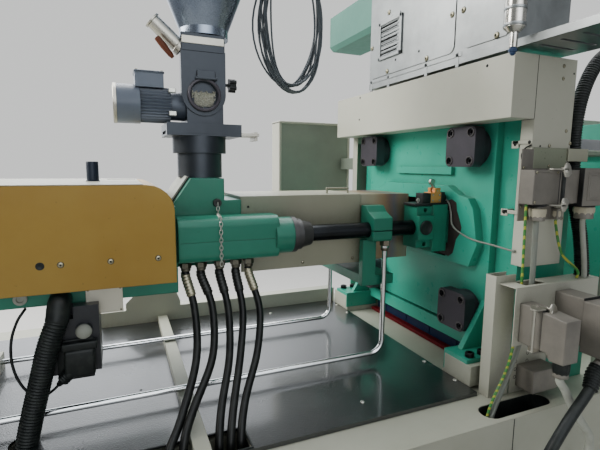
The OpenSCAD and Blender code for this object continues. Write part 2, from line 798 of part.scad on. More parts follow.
// Mushroom stop button
module stop_button() place() color("red")
  translate([button_x, 0, button_z]) {
    bar_y(9, [console_y + console_d - 24, console_y + console_d + 16]);
    bar_y(button_r, [console_y + console_d + 14, far_y]);
  }

// Base plate of the handling unit, on a pedestal that stands on the fixed platen
module handling_base() place() color("silver")
  difference() {
    union() {
      block(base_x, [-handling_reach, 272], [handling_high, handling_high + base_t]);
      block([20, base_x[1]], [-200, 200], [platen_high, handling_high]);
    }
    for (y = [-860:60:-560])
      hull()
        for (x = [-50, 80])
          translate([x, y, handling_high - 1]) cylinder(h = base_t + 2, r = 6, $fn = 32);
  }

// Housing of the handling unit, a box of brushed sheet with two round-cornered panels
housing_y = [-500, 268];
housing_z = [handling_high + base_t, 1010];
module handling_housing() place() color("silver") {
  block(base_x, housing_y, housing_z);
  for (y = [[-262, 262], [-492, -300]])
    prism_x([base_x[0] - 3, base_x[0]])
      translate([(y[0] + y[1]) / 2, (housing_z[0] + housing_z[1]) / 2])
        rounded_square(y[1] - y[0], housing_z[1] - housing_z[0] - 40, 24);
  difference() {
    prism_x([base_x[0] - 7, base_x[0] - 3]) translate([120, 745]) rounded_square(150, 165, 10);
    for (row = [0:6])
      block([base_x[0] - 8, base_x[0] - 2], [60, 180], [680 + row * 18, 688 + row * 18]);
  }
}

// Drive housing at the operator's end of the handling unit
module handling_drive() place() color("darkseagreen")
  prism_y([housing_y[1], 740])
    polygon([[-60, 850], [-40, 830], [base_x[1], 830], [base_x[1], 1000], [-60, 1000]]);

// Air filter on the handling unit's side
filter_at = [base_x[0] - 40, -537];
module air_filter() place() color("silver") {
  translate([filter_at[0], filter_at[1], 0]) {
    translate([0, 0, 545]) cylinder(h = 40, r = 11);
    translate([0, 0, 585]) cylinder(h = 12, r1 = 16, r2 = 28);
    translate([0, 0, 597]) cylinder(h = 200, r = 28);
  }
  block([filter_at[0], base_x[0] + 10], [-512, housing_y[0]], [700, 740]);
}

// Housings fixed to the machine: upper connector on the rear column, lower ones on the shelf
connector_y = -portal_half_w - 49;
upper_x = [-60, 45];
upper_z = [112, 212];
lower_x = [-90, -40];
lower_y = -portal_half_w - 135;
lower_z = [-288, -172];
outer_x = [54, 120];
outer_y = -portal_half_w - 151;
outer_z = [-290, -150];
gland_y = -portal_half_w - 25;
lower_gland_y = -portal_half_w - 182;
outer_gland = [57, -portal_half_w - 206, -335];
apron_y = -portal_half_w - shelf_d;
module connector_bases() place() color("slategray") {
  block([-60, 100], [-portal_half_w - 3, -portal_half_w], [60, 272]);
  block(upper_x, [connector_y, -portal_half_w - 3], upper_z);
  translate([-8, gland_y, 62]) cylinder(h = 36, r = 22);
  translate([-8, gland_y, 97]) cylinder(h = upper_z[0] - 97, r = 13);
  block([75, 95], [gland_y - 4, -portal_half_w - 3], [62, 95]);
  block([-15, 92], [-portal_half_w - 66, -portal_half_w - 3], [-468, -398]);
  block(lower_x, [lower_y, apron_y], lower_z);
  block(outer_x, [outer_y, apron_y], outer_z);
  translate([upper_pin[0], upper_pin[1], 0]) bail_pins(upper_z);
  translate([lower_pin[0], lower_pin[1], 0]) bail_pins(lower_z);
}

// Hoods that plug into the housings, with their cable glands
module connector_hoods() place() color("gray") {
  block([upper_x[1], 240], [connector_y, -portal_half_w - 8], upper_z);
  block([130, 240], [connector_y - 14, -portal_half_w - 8], [upper_z[0] - 8, upper_z[1] + 6]);
  translate([190, gland_y - 6, 62]) cylinder(h = upper_z[0] - 70, r = 27);
  prism_x([lower_x[0] - 3, lower_x[1] + 3])
    polygon([[lower_y, -176], [lower_y - 71, -182], [lower_y - 71, -300], [lower_y - 30, -304],
             [lower_y - 22, -286], [lower_y, -286]]);
  translate([-65, lower_gland_y, -345]) cylinder(h = 46, r = 20);
  block([outer_x[0] - 4, outer_x[1] + 4], [outer_y - 85, outer_y], [-305, -155]);
  translate(outer_gland) rotate([0, 50, 0]) cylinder(h = 50, r = 21);
}

// Locking bail: two cheeks on the housing's pins, joined by a bar across the front
module bail(h) {
  for (z = [-h / 2 - bail_t - slide_gap, h / 2 + slide_gap])
    translate([0, 0, z])
      linear_extrude(bail_t)
        difference() {
          polygon([[-15, 0], [-6, 13], [14, 14], [26, 0], [22, -35], [4, -35], [-12, -12]]);
          circle(bail_pin_r + fit_gap);
        }
  translate([13, -28, -h / 2 - bail_t]) cylinder(h = h + 2 * bail_t, r = 4);
}
bail_t = 4;
bail_pin_r = 5;
upper_pin = [20, -portal_half_w - 42];
lower_pin = [-82, -portal_half_w - 111];
module bail_pins(z) {
  translate([0, 0, z[0] - bail_t - 2]) cylinder(h = z[1] - z[0] + 2 * bail_t + 4, r = bail_pin_r);
}
module upper_lever() place() color("silver")
  translate([upper_pin[0], upper_pin[1], (upper_z[0] + upper_z[1]) / 2]) bail(upper_z[1] - upper_z[0]);
module lower_lever() place() color("silver")
  translate([lower_pin[0], lower_pin[1], (lower_z[0] + lower_z[1]) / 2])
    rotate([0, 0, -90]) bail(lower_z[1] - lower_z[0]);

// Moves a route drawn for the usual sizes so that it starts and ends at the given points
function led(route, from, to) =
  let (n = len(route) - 1)
    [for (i = [0:n]) route[i] + (from - route[0]) * (n - i) / n + (to - route[n]) * i / n];
function in_well(x) = [x, cable_well_y, deck_z - cable_well_d];

// Cables of the connectors, the switch and the earth, each along its own route
upper_route = [[-8, -554, 62], [-8, -554, 40], [-8, -556, -128], [-16, -557, -220], [-48, -560, -320],
               [-95, -567, -410], [-148, -580, -480], [-176, -590, -520], [-176, -590, -552]];
earth_route = [[-48, -548, 112], [-48, -548, 90], [-46, -552, -126], [-56, -558, -240],
               [-92, -566, -370], [-164, -580, -470], [-194, -590, -525], [-194, -590, -552]];
lower_route = [[-65, -711, -345], [-65, -711, -360], [-48, -716, -385], [-20, -721, -436],
               [30, -724, -500], [80, -716, -560], [102, -700, -640], [100, -680, -740], [100, -680, -800]];
outer_route = [[57, -735, -335], [38, -735, -351], [10, -745, -380], [-81, -758, -440],
               [-148, -765, -500], [-184, -748, -600], [-199, -700, -740], [-200, -680, -830],
               [-200, -680, -860]];
hood_route = [[190, -560, 62], [190, -560, 40], [194, -571, -50], [198, -575, -105], [198, -575, -126]];
bond_route = [[85, -548, 62], [85, -548, 45], [112, -556, -45], [166, -574, -100], [166, -574, -126]];
switch_route = [[-48, -185, 105], [-44, -185, 105], [-39, -190, 102], [-37.5, -212, 88], [-38, -228, 52],
                [-43, -248, 5], [-44, -330, -25], [-38, -430, -33], [-27, -496, -40], [-20, -496, -40]];
conduit_route = [[465, -535, 330], [465, -535, 360], [462, -530, 450], [440, -522, 545], [390, -515, 590],
                 [325, -509, 590], [255, -505, 535], [205, -505, 430], [192, -505, 290],
                 [212, -510, 130], [236, -525, 0], [222, -550, -100], [222, -550, -126]];
module machine_cables() place() color("lightgray") {
  tube(led(upper_route, [-8, gland_y, 62], in_well(-176)), 8, lean = [0, 1, 0]);
  tube(led(earth_route, [-48, gland_y + 6, upper_z[0]], in_well(-194)), 4, lean = [0, 1, 0]);
  tube(led(lower_route, [-65, lower_gland_y, -345], [100, port_y, -800]), 11, lean = [0, 1, 0]);
  tube(led(outer_route, outer_gland, [-200, port_y, -860]), 14, lean = [0, 1, 0]);
  tube(led(hood_route, [190, gland_y - 6, 62], [198, -portal_half_w - 46, shelf_z]), 8);
  tube(led(bond_route, [85, gland_y + 6, 62], [166, -portal_half_w - 45, shelf_z]), 4, lean = [0, 1, 0]);
  tube(led(switch_route, switch_route[0], [column_x + 3, -portal_half_w + 33, -40]), 3, lean = [1, 0, 1]);
  tube(led(conduit_route, [465, -portal_half_w - 6, guard_high_rear + 30],
           [222, -portal_half_w - 21, shelf_z]), 22, 12, [0, 1, 0]);
}

// Main casting of the injection unit: feed block and both carriage cylinders
feed_outline = [[casting_x[0], -90], [casting_x[0], 100], [-950, neck_z], [-850, neck_z],
                [-850, 110], [block_x[1], 110], [block_x[1], -90]];
hose_tops = [-980, -935, -880, -830, -790];
module injection_casting() place() color("seagreen")
  difference() {
    union() {
      prism_y([-132, 132]) polygon(feed_outline);
      both_sides() {
        prism_x([casting_x[0], casting_x[1] - 50])
          translate([-(127 + 232) / 2, 2]) rounded_square(105, 130, 24);
        translate([0, -rod_y, 0]) bar_x(57, [casting_x[1] - 60, casting_x[1]]);
      }
      for (x = hose_tops)
        translate([x, -rod_y, hose_start_z]) cylinder(h = 40, r = hose_r + 1);
    }
    bar_x(barrel_r + fit_gap, [casting_x[0] - 1, block_x[1] + 1]);
    translate([feed_x, 0, 0]) cylinder(h = neck_z + 1, r = 38);
    both_sides()
      translate([0, -rod_y, 0]) bar_x(rod_head_r + fit_gap, [casting_x[0] + 10, casting_x[1] + 1]);
  }

// Stepped front caps of the carriage cylinders
module cylinder_caps() place() color("dimgray")
  both_sides()
    translate([casting_x[1], -rod_y, 0])
      turned_x()
        polygon([[rod_r + fit_gap, 0], [57, 0], [57, 16], [50, 16], [50, 34], [46, 34], [38, rod_cap_l],
                 [rod_r + fit_gap, rod_cap_l]]);

// Barrel with its feed opening
module barrel() place() color("slategray")
  difference() {
    bar_x(barrel_r, [barrel_back, barrel_front]);
    bar_x(screw_r + screw_gap, [barrel_back - 1, barrel_front + 1]);
    translate([feed_x, 0, 0]) cylinder(h = barrel_r + 1, r = 30);
  }

// Heater bands clamped round the barrel and the nozzle
band_x = [-740, -600, -470, -320, -146, -45];
module heater_bands() place() color("tan")
  for (x = band_x)
    difference() {
      bar_x(barrel_r + 10, [x, x + 95]);
      bar_x(barrel_r + fit_gap, [x - 1, x + 96]);
    }

// Sheet cover: three walls folded from one sheet and an end web at each end, which sits on the barrel
module folded_cover(x, half_w, high, low) {
  difference() {
    block(x, [-half_w, half_w], [-low, high]);
    block([x[0] - 1, x[1] + 1], [-half_w + cover_t, half_w - cover_t], [-low - 1, high - cover_t]);
  }
  for (end = [x[0] + 3, x[1] - 5])
    difference() {
      block([end, end + cover_t], [-half_w + cover_t, half_w - cover_t], [-barrel_r - 20, high - cover_t]);
      bar_x(barrel_r + fit_gap, [end - 1, end + cover_t + 1]);
    }
}
module barrel_cover() place() color("gainsboro") {
  folded_cover(cover_x, cover_half_w, cover_high, cover_low);
  for (x = [-460, -375])
    translate([x, -60, cover_high]) cylinder(h = 18, r = 3.5);
  translate([0, -60, cover_high + 18]) bar_x(3.5, [-463.5, -371.5]);
}
module nozzle_guard() place() color("rosybrown")
  folded_cover(guard_x, cover_half_w - 7, cover_high - 2, cover_low - 4);

// Nozzle, screwed to the barrel's head
module nozzle() place() color("slategray")
  translate([barrel_front, 0, 0])
    turned_x()
      polygon([[0, 0], [50, 0], [50, 22], [26, 34], [26, nozzle_l - 24], [12, nozzle_l], [0, nozzle_l]]);

// Feed neck between the casting and the dosing unit, with the shut-off's lower plate
module hopper_neck() place() color("dimgray")
  translate([feed_x, 0, 0])
    difference() {
      union() {
        translate([0, 0, neck_z]) cylinder(h = neck_step - neck_z, r = neck_w / 2);
        translate([0, 0, neck_step]) cylinder(h = neck_top - neck_step, r = neck_w / 2 + 14);
        block([-110, 120], [-85, 85], [neck_top, neck_top + 6]);
      }
      translate([0, 0, neck_z - 1]) cylinder(h = neck_top - neck_z + 8, r = 34);
    }

// Shut-off slide between the feed neck and the dosing unit
slide_z = [neck_top + 6 + slide_gap, neck_top + gate_t - slide_gap];
module shut_off_slide() place() color("silver")
  difference() {
    union() {
      block([feed_x - 50, feed_x + 190], [-48, 48], slide_z);
      block([feed_x + 180, feed_x + 190], [-30, 30], [slide_z[0] - 14, slide_z[1] + 6]);
    }
    translate([feed_x, 0, slide_z[0] - 1]) cylinder(h = gate_t, r = 33);
  }

// Dosing unit: upper plate, chamber with its window and the front plate
module dosing_housing() place() color("dimgray")
  difference() {
    union() {
      for (side = [-1, 1])
        block([feed_x - 110, feed_x + 120], side > 0 ? [48.3, 85] : [-85, -48.3],
              [neck_top + 6, neck_top + gate_t]);
      block([feed_x - 110, feed_x + 120], [-85, 85], [neck_top + gate_t, dosing_z]);
      block([-948, -836], [plate_y, 60], [dosing_z, funnel_z]);
      prism_y([plate_y - 6, plate_y]) dosing_plate();
      translate([plate_x, 0, window_z]) bar_y(window_r + 6, [plate_y - 12, plate_y]);
    }
    translate([plate_x, 0, window_z]) bar_y(window_r - 4, [plate_y - 13, plate_y + 3]);
    translate([-892, -8, dosing_z + 40]) cylinder(h = 300, r = 48);
    translate([feed_x, 0, neck_top + gate_t - 1]) cylinder(h = 80, r = 34);
    translate([0, -8, dosing_axis_z]) bar_x(24, [-960, -842]);
  }
module dosing_plate()
  translate([plate_x, 0]) {
    translate([0, plate_low + plate_w / 2]) circle(plate_w / 2);
    translate([-plate_w / 2, plate_low + plate_w / 2]) square([plate_w, plate_high - plate_low - plate_w / 2]);
  }

// Dosing screw across the chamber
module dosing_screw() place() color("silver")
  translate([0, -8, dosing_axis_z]) {
    bar_x(9, [-990, -850]);
    for (x = [-940:18:-868]) bar_x(23.5, [x, x + 5]);
  }

// Geared motor with its cooling fins, fan cowl and terminal box
motor_outline = [for (k = [0:63]) let (r = k % 2 == 0 ? 54 : 48) [r * cos(k * 5.625), r * sin(k * 5.625)]];
module dosing_motor() place() color("slategray")
  translate([0, -8, dosing_axis_z]) {
    difference() {
      bar_x(44, [-992, -948]);
      bar_x(9 + fit_gap, [-991, -947]);
    }
    prism_x([-1080, -992]) polygon(motor_outline);
    bar_x(58, [-1153, -1080]);
    block([-1093, -1011], [-40, 34], [48, 92]);
  }

// Knob that clamps the dosing unit's front plate
module star_knob() place() color("black")
  translate([0, -50, 470]) {
    bar_x(5, [-836 + slide_gap, -812]);
    prism_x([-812, -790]) {
      circle(14);
      for (k = [0:4]) rotate(k * 72) translate([15, 0]) circle(7);
    }
  }

// Stainless funnel with its rim, hook and lid
funnel_x = -880;
hank_top = 940;
hank_w = 45;
hank_x = -582;
hook_y = 40;
hook_z = hank_top - hank_w - 5 - slide_gap;
module funnel() place() color("lightsteelblue")
  translate([funnel_x, -8, 0]) {
    rotate_extrude()
      polygon([[54, funnel_z], [76, funnel_z], [76, funnel_z + 24], [funnel_r, funnel_top],
               [funnel_r + 8, funnel_top], [funnel_r + 8, funnel_top + 3], [0, funnel_top + 3],
               [0, funnel_top], [funnel_r - 3, funnel_top], [73, funnel_z + 26], [54, funnel_z + 24]]);
    translate([0, hook_y, hook_z]) bar_x(5, [funnel_r - 32, hank_x - funnel_x + 5]);
    translate([hank_x - funnel_x, 0, hook_z]) bar_y(5, [-34, hook_y]);
  }

// Cover over the rear of the injection unit, one folded sheet
function corner_arc(cx, cz, r, from, to, n) =
  [for (k = [0:n]) let (a = from + (to - from) * k / n) [cx + r * cos(a), cz + r * sin(a)]];
module yellow_cover() place() color("goldenrod")
  difference() {
    prism_y([-shroud_half_w, shroud_half_w]) shroud_outline(0);
    prism_y([-shroud_half_w + cover_t, shroud_half_w - cover_t]) shroud_outline(cover_t);
    block([shroud_x[1] - 10, shroud_x[1] + 1], [-shroud_half_w + cover_t, shroud_half_w - cover_t],
          [-shroud_low - 1, front_plate_top + 4]);
  }
module shroud_outline(inset)
  polygon(concat([[shroud_x[0] + inset, -shroud_low - inset],
                  [shroud_x[1] + inset * 2, -shroud_low - inset]],
                 corner_arc(shroud_x[1] - 70, shroud_high - 70, 70 - inset, 0, 90, 6),
                 [[shroud_x[0] + inset, shroud_high - inset]]));

// Frame of the injection drive: front plate, side beams, rear crosshead and posts for the cover
post_x = [housing_x[0] + 20, -1130];
module injection_housing() place() color("seagreen") {
  difference() {
    union() {
      block([-1044, casting_x[0]], [-200, 200], [-150, front_plate_top]);
      block(housing_x, [-200, 200], [-150, 60]);
    }
    block([housing_x[0] + 60, -1044], [-150, 150], [-151, 101]);
    bar_x(barrel_r + 1, [-1045, -1003]);
  }
  for (side = [-1, 1])
    translate([0, side * 105, 0])
      difference() {
        bar_x(34, [-1300, -1044]);
        bar_x(18 + fit_gap, [-1301, -1060]);
      }
  block(pedestal_x, [-200, 200], [pedestal_top + slide_gap, -150]);
  both_sides()
    for (x = post_x)
      block([x, x + 30], [165, 185], [60, shroud_high - cover_t]);
}

// Crosshead that pushes the feed screw, with the hydraulic motor that turns it
module injection_ram() place() color("slategray")
  difference() {
    union() {
      block([ram_x, ram_x + ram_t], [-149.7, 149.7], [-90, 60]);
      bar_x(80, [ram_x - 220, ram_x]);
      for (side = [-1, 1]) translate([0, side * 105, 0]) bar_x(18, [ram_x + ram_t, -1120]);
    }
    bar_x(18 + fit_gap, [ram_x - 20, ram_x + ram_t + 1]);
  }

// Feed screw: shank, root and one helical flight
flight_start = -960;
turns = (screw_front - flight_start) / screw_pitch;
module feed_screw() place() color("silver") {
  bar_x(18, [ram_x - 10, flight_start - 20]);
  bar_x(12, [flight_start - 20, screw_front]);
  translate([screw_front, 0, 0]) rotate([0, 90, 0]) cylinder(h = 25, r1 = 12, r2 = 2);
  flight(8);
}
module flight(steps) {
  n = floor(turns * steps);
  section = [[10, 0], [screw_r, 0], [screw_r, 5], [10, 5]];
  points = [for (k = [0:n], s = section)
              [flight_start + k * screw_pitch / steps + s[1],
               s[0] * cos(360 * k / steps), s[0] * sin(360 * k / steps)]];
  walls = [for (k = [0:n - 1], j = [0:3])
             let (a = 4 * k + j, b = 4 * k + (j + 1) % 4) [a, b, b + 4, a + 4]];
  polyhedron(points, concat(walls, [[3, 2, 1, 0]], [[4 * n, 4 * n + 1, 4 * n + 2, 4 * n + 3]]));
}

// Pressure hoses from the carriage's ports down to the floor of their well
hose_start_z = -92;
hose_end_z = deck_z - hose_well_d + 1;
hose_r = 11;
hose_routes = [
  [[-980, -185, -92], [-980, -185, -112], [-965, -235, -195], [-975, -310, -310], [-1030, -400, -420],
   [-1068, -450, -475], [-1075, -465, -540], [-1075, -465, -611]],
  [[-935, -185, -92], [-935, -185, -112], [-914, -235, -195], [-930, -310, -310], [-998, -395, -405],
   [-1030, -445, -455], [-1038, -464, -530], [-1038, -465, -611]],
  [[-880, -185, -92], [-880, -185, -112], [-868, -240, -205], [-884, -315, -315], [-925, -395, -410],
   [-945, -450, -470], [-948, -465, -540], [-948, -465, -611]],
  [[-830, -185, -92], [-830, -185, -112], [-824, -240, -215], [-852, -315, -315], [-892, -395, -410],
   [-915, -450, -470], [-920, -465, -540], [-920, -465, -611]],
  [[-790, -185, -92], [-790, -185, -112], [-770, -235, -215], [-800, -310, -315], [-858, -390, -405],
   [-888, -450, -468], [-892, -465, -540], [-892, -465, -611]]];
module hydraulic_hoses() place() color("black") {
  for (route = hose_routes)
    tube(led(route, [route[0][0], -rod_y, hose_start_z], [route[7][0], hose_end_y, hose_end_z]), hose_r);
  tube(drain_route, drain_r, 12);
}

// Corrugated hose from the drive frame's side, round an elbow and down into its own well
drain_r = 27;
drain_route = [[-1305, -200, -136], [-1305, -228, -136], [-1306, -252, -147], [-1310, -264, -175],
               [-1333, -266, -240], [-1352, -267, -315], [-1374, -268, -400],
               [-1394, -270, -445], [duct_well_x, duct_well_y, -472],
               [duct_well_x, duct_well_y, deck_z - duct_well_d]];

// Valve block hung below the injection drive
valve_x = [-1330, -1215];
valve_y = [-235, -125];
valve_h = 180;
module valve_block() place() color("dimgray") {
  difference() {
    block(valve_x, valve_y, [-150 - valve_h, -150]);
    block([valve_x[0] - 1, valve_x[0] + 2 * drain_r], [valve_y[0] - 1, -199], [-182, -149]);
  }
  translate([valve_x[1] - 37, 0, -214]) bar_y(20, [valve_y[0] - 15, valve_y[0]]);
}

// Hank of cable hung from the funnel's hook
module cable_hank() place() color("gray")
  prism_y([-33, 17])
    translate([hank_x, hank_top - 240])
      difference() {
        rounded_square(270, 480, 120);
        rounded_square(270 - 2 * hank_w, 480 - 2 * hank_w, 80);
      }

// Moving platen: front plate, tie bar sleeves and the box of the ejector
module moving_platen() place() color("mediumseagreen") {
  difference() {
    union() {
      block([open_x, box_x], [-platen_half_w, platen_half_w], [-platen_low, platen_high]);
      at_tie_bars() bar_x(bar_r + 30, [box_x, box_x + 110]);
      block([box_x, moving_end], [-box_half_w, box_half_w], [-box_half_w, box_half_w]);
    }
    block([box_x, box_back_x], [-box_half_w + 45, box_half_w - 45], [-box_half_w - 1, box_half_w + 1]);
    at_tie_bars() bar_x(bar_r + fit_gap, [open_x - 1, box_x + 111]);
    bar_x(ejector_r + fit_gap, [open_x - 1, box_x + 1]);
    mould_holes([open_x - 1, open_x + mould_hole_depth]);
  }
  for (side = [-1, 1]) translate([0, side * ejector_pin_y, 0]) bar_x(ejector_pin_r, [box_x, box_back_x]);
  for (side = [-1, 1])
    block([open_x - 60, box_x + 60], side > 0 ? rail_y : -[rail_y[1], rail_y[0]], [shoe_z, -platen_low]);
}

// Rod and head of the clamp piston
module clamp_piston() place() color("silver") {
  bar_x(clamp_rod_r, [moving_end, clamp_rod_end]);
  bar_x(clamp_head_r, [clamp_rod_end - clamp_head_t, clamp_rod_end]);
}

// Ejector plate on its guide pins, with the central rod
module ejector_plate() place() color("slategray") {
  difference() {
    block([box_back_x - ejector_plate_t - 5, box_back_x - 5], [-165, 165], [-80, 80]);
    for (side = [-1, 1])
      translate([0, side * ejector_pin_y, 0])
        bar_x(ejector_pin_r + fit_gap, [box_back_x - ejector_plate_t - 6, box_back_x]);
  }
  bar_x(ejector_r, [open_x + 20, box_back_x - ejector_plate_t - 5]);
}

bed_frame();
side_panels();
drip_tray();
levelling_feet();
pump_motor();
fixed_platen();
tie_bars();
tie_bar_caps();
cap_screws();
rear_platen();
clamp_cylinder();
portal_beam();
portal_columns();
cable_duct();
rod_yokes();
guide_rods();
rod_support();
oil_pipes();
limit_switch();
far_trough();
clamp_guards();
console();
console_front();
handling_base();
handling_housing();
handling_drive();
air_filter();
connector_bases();
connector_hoods();
machine_cables();
injection_casting();
cylinder_caps();
barrel();
heater_bands();
barrel_cover();
nozzle_guard();
nozzle();
hopper_neck();
dosing_housing();
dosing_motor();
funnel();
yellow_cover();
injection_housing();
hydraulic_hoses();
valve_block();
cable_hank();
feed_screw();
injection_ram();
moving_platen();
clamp_piston();
ejector_plate();
front_door();
rear_door();
shut_off_slide();
star_knob();
dosing_screw();
upper_lever();
lower_lever();
switch_lever();
stop_button();
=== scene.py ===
import math
import random

import bmesh
import bpy
from mathutils import Matrix, Vector


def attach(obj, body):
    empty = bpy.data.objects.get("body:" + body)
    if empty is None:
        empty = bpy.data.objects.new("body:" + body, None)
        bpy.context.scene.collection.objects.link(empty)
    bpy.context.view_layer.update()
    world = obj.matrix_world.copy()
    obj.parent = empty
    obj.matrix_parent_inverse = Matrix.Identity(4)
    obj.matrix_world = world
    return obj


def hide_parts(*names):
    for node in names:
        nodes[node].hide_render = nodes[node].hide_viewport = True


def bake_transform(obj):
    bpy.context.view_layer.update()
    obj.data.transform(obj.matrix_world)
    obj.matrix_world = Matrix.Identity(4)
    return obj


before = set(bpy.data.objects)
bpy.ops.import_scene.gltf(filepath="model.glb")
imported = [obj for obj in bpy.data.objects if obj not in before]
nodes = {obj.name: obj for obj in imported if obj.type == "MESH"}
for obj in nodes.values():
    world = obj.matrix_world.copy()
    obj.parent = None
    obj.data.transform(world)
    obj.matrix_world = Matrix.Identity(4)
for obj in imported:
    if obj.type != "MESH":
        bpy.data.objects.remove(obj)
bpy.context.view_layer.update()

# Camera: stands at the injection unit's rear corner, at eye height, and looks across the guide rods
# to the fixed platen. Lens and tilt follow the perspective of the machine's straight edges.
eye = bpy.data.cameras.new("eye")
eye.lens = 25.962
eye.sensor_width = 36.0
eye.clip_start = 0.02
camera = bpy.data.objects.new("camera", eye)
bpy.context.scene.collection.objects.link(camera)
bpy.context.scene.camera = camera
yaw, pitch, roll = math.radians(22.85), math.radians(7.81), math.radians(0.5)
forward = Vector((math.sin(yaw) * math.cos(pitch), math.cos(yaw) * math.cos(pitch), -math.sin(pitch)))
level = Vector((math.cos(yaw), -math.sin(yaw), 0))
upright = level.cross(forward)
right = level * math.cos(roll) + upright * math.sin(roll)
up = upright * math.cos(roll) - level * math.sin(roll)
camera.matrix_world = Matrix.Translation((-1.394, -1.431, 1.488)) @ Matrix(
    (right, up, -forward)).transposed().to_4x4()


# Cables, hoses and conduit: PVC and rubber, clamped in glands at both ends. Each is swept along the
# route that the solids take, smoothed, with its own jacket: plain, striped or corrugated.
def at(x, y, z):
    """Point in metres, from millimetres measured from the platen's injection face on the axis."""
    return Vector(((x - 240) / 1000, (y + 29) / 1000, (z + 1270) / 1000))


def smoothed(points, steps=6):
    """Points of a Catmull-Rom line through the given ones."""
    ends = [points[0] * 2 - points[1]] + points + [points[-1] * 2 - points[-2]]
    line = []
    for a, b, c, d in zip(ends, ends[1:], ends[2:], ends[3:]):
        for i in range(steps):
            t = i / steps
            line.append(0.5 * ((2 * b) + (c - a) * t + (2 * a - 5 * b + 4 * c - d) * t * t
                               + (3 * b - a - 3 * c + d) * t ** 3))
    return line + [points[-1]]


def spaced(line, gap):
    """The same line with points about a gap apart."""
    out, rest = [line[0]], 0.0
    for a, b in zip(line, line[1:]):
        span = (b - a).length
        run = gap - rest
        while run <= span:
            out.append(a.lerp(b, run / span))
            run += gap
        rest = span - (run - gap)
    if (out[-1] - line[-1]).length > gap / 3:
        out.append(line[-1])
    else:
        out[-1] = line[-1]
    return out


def ring_of(mesh, centre, radius, first, second, sides):
    """New corners on a circle that the two given directions span."""
    return [mesh.verts.new(centre + radius * (math.cos(a) * first + math.sin(a) * second))
            for a in (math.tau * k / sides for k in range(sides))]


def skinned(mesh, rings, capped=True):
    """Faces between each ring of corners and the next, and over both ends."""
    for a, b in zip(rings, rings[1:]):
        for k in range(len(a)):
            after = (k + 1) % len(a)
            mesh.faces.new((a[k], a[after], b[after], b[k]))
    if capped:
        mesh.faces.new(rings[0][::-1])
        mesh.faces.new(rings[-1])


def swept(name, line, radius, sides):
    """A closed tube along the line; radius is a number or a function of the distance run."""
    mesh = bmesh.new()
    side = None
    rings = []
    run = 0.0
    for i, point in enumerate(line):
        ahead = (line[min(i + 1, len(line) - 1)] - line[max(i - 1, 0)]).normalized()
        if side is None:
            side = ahead.orthogonal().normalized()
        side = (side - ahead * side.dot(ahead)).normalized()
        other = ahead.cross(side)
        if i:
            run += (point - line[i - 1]).length
        r = radius(run) if callable(radius) else radius
        rings.append(ring_of(mesh, point, r, side, other, sides))
    skinned(mesh, rings)
    return placed(name, mesh, smooth=True)


def placed(name, mesh, smooth=False):
    """The finished mesh as an object of the scene."""
    bmesh.ops.recalc_face_normals(mesh, faces=mesh.faces)
    data = bpy.data.meshes.new(name)
    mesh.to_mesh(data)
    mesh.free()
    for face in data.polygons:
        face.use_smooth = smooth
    piece = bpy.data.objects.new(name, data)
    bpy.context.scene.collection.objects.link(piece)
    return piece


def colour(r, g, b):
    """Linear colour of a paint given as it looks on a chart, 0 to 255."""
    return [((c / 255 + 0.055) / 1.055) ** 2.4 if c > 10 else c / 255 / 12.92 for c in (r, g, b)] + [1.0]


class Finish:
    """A material under way: its nodes are linked as they are made, and coat() gives it its look."""

    def __init__(self, name):
        self.material = bpy.data.materials.new(name)
        self.material.use_nodes = True
        self.tree = self.material.node_tree
        self.where = self.node("TexCoord", "Object")

    def put(self, target, values):
        for key, value in values.items():
            socket = key.replace("_", " ")
            if isinstance(value, bpy.types.NodeSocket):
                self.tree.links.new(value, target.inputs[socket])
            elif hasattr(target, key):
                setattr(target, key, value)
            else:
                target.inputs[socket].default_value = value

    def node(self, kind, result, **values):
        made = self.tree.nodes.new("ShaderNode" + kind)
        self.put(made, values)
        return made.outputs[result]

    def noise(self, scale, detail, **values):
        return self.node("TexNoise", "Fac", Vector=self.where, Scale=scale, Detail=detail, **values)

    def reach(self, value, low, high, first=0.0, last=1.0):
        return self.node("MapRange", "Result", Value=value, From_Min=low, From_Max=high,
                         To_Min=first, To_Max=last)

    def mixed(self, share, first, second):
        return self.node("Mix", "Result", data_type="RGBA", Factor=share, A=first, B=second)

    def bump(self, height, strength, distance, **values):
        return self.node("Bump", "Normal", Height=height, Strength=strength, Distance=distance, **values)

    def coat(self, **values):
        self.put(self.tree.nodes["Principled BSDF"], values)
        return self.material


def jacket(name, paint, dull=0.45, grime_and_shade=(0.25, 0.23, 0.2), stripe=None, twist=40.0):
    """Cable sheath or hose cover: slightly mottled, dusty in patches, with an optional second stripe."""
    finish = Finish(name)
    mottle = finish.noise(38.0, 4.0)
    surface = finish.mixed(finish.reach(mottle, 0.45, 0.75, 0.0, 0.35), paint, (*grime_and_shade, 1))
    if stripe:
        wave = finish.node("TexWave", "Fac", Vector=finish.where, wave_type="BANDS",
                           bands_direction="DIAGONAL", Scale=twist)
        surface = finish.mixed(finish.reach(wave, 0.66, 0.76), surface, stripe)
    return finish.coat(Base_Color=surface, Roughness=finish.reach(mottle, 0, 1, dull - 0.1, dull + 0.2),
                       Specular_IOR_Level=0.22, Normal=finish.bump(mottle, 0.15, 0.0006))


def sheathed(name, line, radius, sides, sheath):
    """A swept cable or hose in its sheath."""
    tube = swept(name, line, radius, sides)
    tube.data.materials.append(sheath)
    return tube


